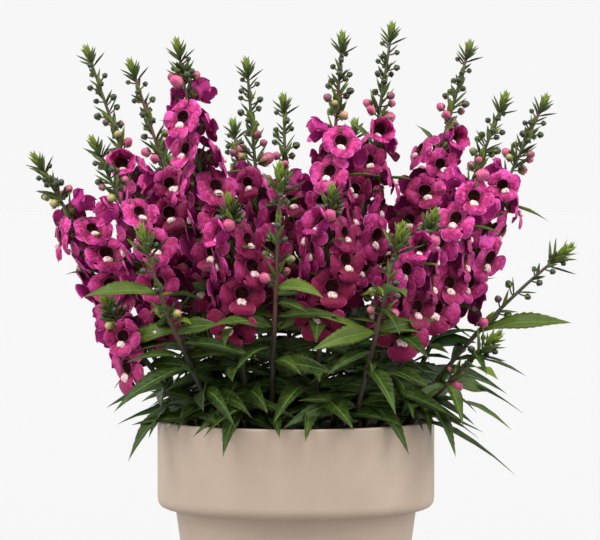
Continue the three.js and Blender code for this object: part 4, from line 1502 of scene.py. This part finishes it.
def stand(grower, kind, models, skin, sagging=False):
    """One of the models on each seat of this kind, turned and sized as the seat says."""
    graph = grower.graph
    kinds = grower.value("kind", "INT")
    found = kinds.math("COMPARE", kinds, float(kind), 0.5)
    shapes = []
    for model in models:
        shape = graph.add("GeometryNodeObjectInfo", None, {"Object": grower.input(model)}).of("Geometry")
        shapes.append(graph.add("GeometryNodeGeometryToInstance", None, {"Geometry": shape}))
    choice = graph.add("GeometryNodeJoinGeometry", None, {"Geometry": shapes[::-1]})
    placed = graph.add("GeometryNodeInstanceOnPoints", None, {
        "Points": grower.input(), "Selection": found, "Instance": choice, "Pick Instance": True,
        "Instance Index": grower.value("pick", "INT"), "Rotation": grower.value("turn", "QUATERNION"),
        "Scale": grower.value("span", "FLOAT_VECTOR")})
    real = graph.add("GeometryNodeRealizeInstances", None, {"Geometry": placed})
    if sagging:
        along = grower.value("grain", "FLOAT_VECTOR").axis("Y")
        fall = graph.add("ShaderNodeCombineXYZ", None, {"Z": grower.value("drop") * -1 * along ** 2})
        real = graph.add("GeometryNodeSetPosition", None, {"Geometry": real, "Offset": fall})
    return graph.add("GeometryNodeSetMaterial", None, {"Geometry": real, "Material": grower.input(skin)})


models = {
    "Tooth": put("tooth", tooth_mesh()),
    "Calyx": put("calyx", calyx_mesh()),
    "Bud": put("bud", bud_mesh()),
    "Sepals": put("sepals", sepals_mesh()),
    "Bract": put("bract", bract_mesh())}
flower_names = [f"Flower {k + 1}" for k in range(len(FLOWER_KINDS))]
for flower_name, (closing, ruffle) in zip(flower_names, FLOWER_KINDS):
    mesh_name = flower_name.lower().replace(" ", "_")
    models[flower_name] = put(mesh_name, corolla_mesh(mesh_name, closing, ruffle))
leaf_names = [f"Leaf {k + 1}" for k in range(2 * len(LEAF_KINDS))]
small_leaf_names = leaf_names[len(LEAF_KINDS):]
plain_rows = [(along, blade_width(along)) for along in SMALL_LEAF_ROWS]
for leaf_name, kind in zip(leaf_names, LEAF_KINDS * 2):
    if leaf_name in small_leaf_names:
        mesh = leaf_mesh(leaf_name, plain_rows, SMALL_LEAF_COLUMNS, *kind)
    else:
        mesh = leaf_mesh(leaf_name, toothed_rows(), LEAF_COLUMNS, *kind)
    models[leaf_name] = put(leaf_name.lower().replace(" ", "_"), mesh)

leafy = Grower("leafy stem", {
    "Rod sides": ROD_SIDES, "Stem skin": stem_skin.material, "Leaf skin": leaf_skin.material,
    "Bract skin": bract_skin.material, "Bud skin": bud_skin.material,
    **{name: models[name] for name in [*leaf_names, "Bract", "Bud", "Sepals"]}})
leafy.finish([
    rods(leafy, "Stem skin"),
    stand(leafy, LEAF, leaf_names, "Leaf skin", sagging=True),
    stand(leafy, BRACT, ["Bract"], "Bract skin"),
    stand(leafy, BUD, ["Bud"], "Bud skin"),
    stand(leafy, BUD, ["Sepals"], "Bract skin")])

flowering = Grower("flowers", {
    "Rod sides": ROD_SIDES, "Stem skin": stem_skin.material, "Petal skin": petal_skin.material,
    "Tooth skin": tooth_skin.material, "Bract skin": bract_skin.material,
    "Leaf skin": leaf_skin.material,
    **{name: models[name] for name in [*flower_names, *small_leaf_names, "Tooth", "Calyx", "Bract"]}})
flowering.finish([
    stand(flowering, LEAF, small_leaf_names, "Leaf skin", sagging=True),
    rods(flowering, "Stem skin"),
    stand(flowering, FLOWER, flower_names, "Petal skin"),
    stand(flowering, FLOWER, ["Tooth"], "Tooth skin"),
    stand(flowering, FLOWER, ["Calyx"], "Bract skin"),
    stand(flowering, BRACT, ["Bract"], "Bract skin")])

for name, shoot in SHOOTS.items():
    stem = Stem(shoot)
    green = Seats()
    add_stem(green, shoot, stem)
    add_leaves(green, shoot, stem)
    add_small_leaves(green, shoot, stem)
    add_buds(green, shoot, stem)
    add_tuft(green, shoot, stem)
    grown = leafy.grow(f"{name}_leafy_stem", green.mesh(f"{name}_seats"))
    seat(put(f"{name}_leafy_stem", grown), f"{name}_shoot")
    if "blooms" in shoot:
        heads = Seats()
        add_flowers(heads, shoot, stem)
        grown = flowering.grow(f"{name}_open_flowers", heads.mesh(f"{name}_flower_seats"))
        seat(put(f"{name}_open_flowers", grown), f"{name}_flowers")

for model in models.values():
    bpy.data.objects.remove(model)

# Floor and light. A wide pale floor meets a white surrounding of the same brightness, so no edge
# shows. Two broad soft suns stand high, in front to the left and to the right, and two weak ones
# low at the sides light the pot under the leaves.

FLOOR_RADIUS = 60.0
FLOOR_SIDES = 96
SURROUNDING = 0.93
SUN_WIDTH = 40
# Each sun: its side and height in degrees, and its strength.
SUNS = {
    "left_high_sun": (-50, 54, 2.9),
    "right_high_sun": (50, 54, 2.9),
    "left_low_sun": (-84, 12, 1.3),
    "right_low_sun": (84, 12, 1.3)}

world = bpy.data.worlds.new("studio")
world.use_nodes = True
world.node_tree.nodes["Background"].inputs["Color"].default_value = (1, 1, 1, 1)
world.node_tree.nodes["Background"].inputs["Strength"].default_value = SURROUNDING
bpy.context.scene.world = world

for lamp_name, (side, height, strength) in SUNS.items():
    lamp = bpy.data.lights.new(lamp_name, "SUN")
    lamp.energy = strength
    lamp.angle = math.radians(SUN_WIDTH)
    sun = bpy.data.objects.new(lamp_name, lamp)
    sun.rotation_euler = (math.radians(90 - height), 0, math.radians(side))
    bpy.context.collection.objects.link(sun)

floor_shape = bmesh.new()
bmesh.ops.create_circle(floor_shape, cap_ends=True, radius=FLOOR_RADIUS, segments=FLOOR_SIDES)
floor_mesh = mesh_from(floor_shape, "pale_floor")
paper = Finish("pale floor", Roughness=1.0, Specular_IOR_Level=0.0)
sunlight = sum(
    strength * math.sin(math.radians(height)) for _, height, strength in SUNS.values()) / math.pi
floor_grey = SURROUNDING / (SURROUNDING + sunlight)
paper.feed("Base Color", (floor_grey, floor_grey, floor_grey, 1))
floor_mesh.materials.append(paper.material)
put("pale_floor", floor_mesh)
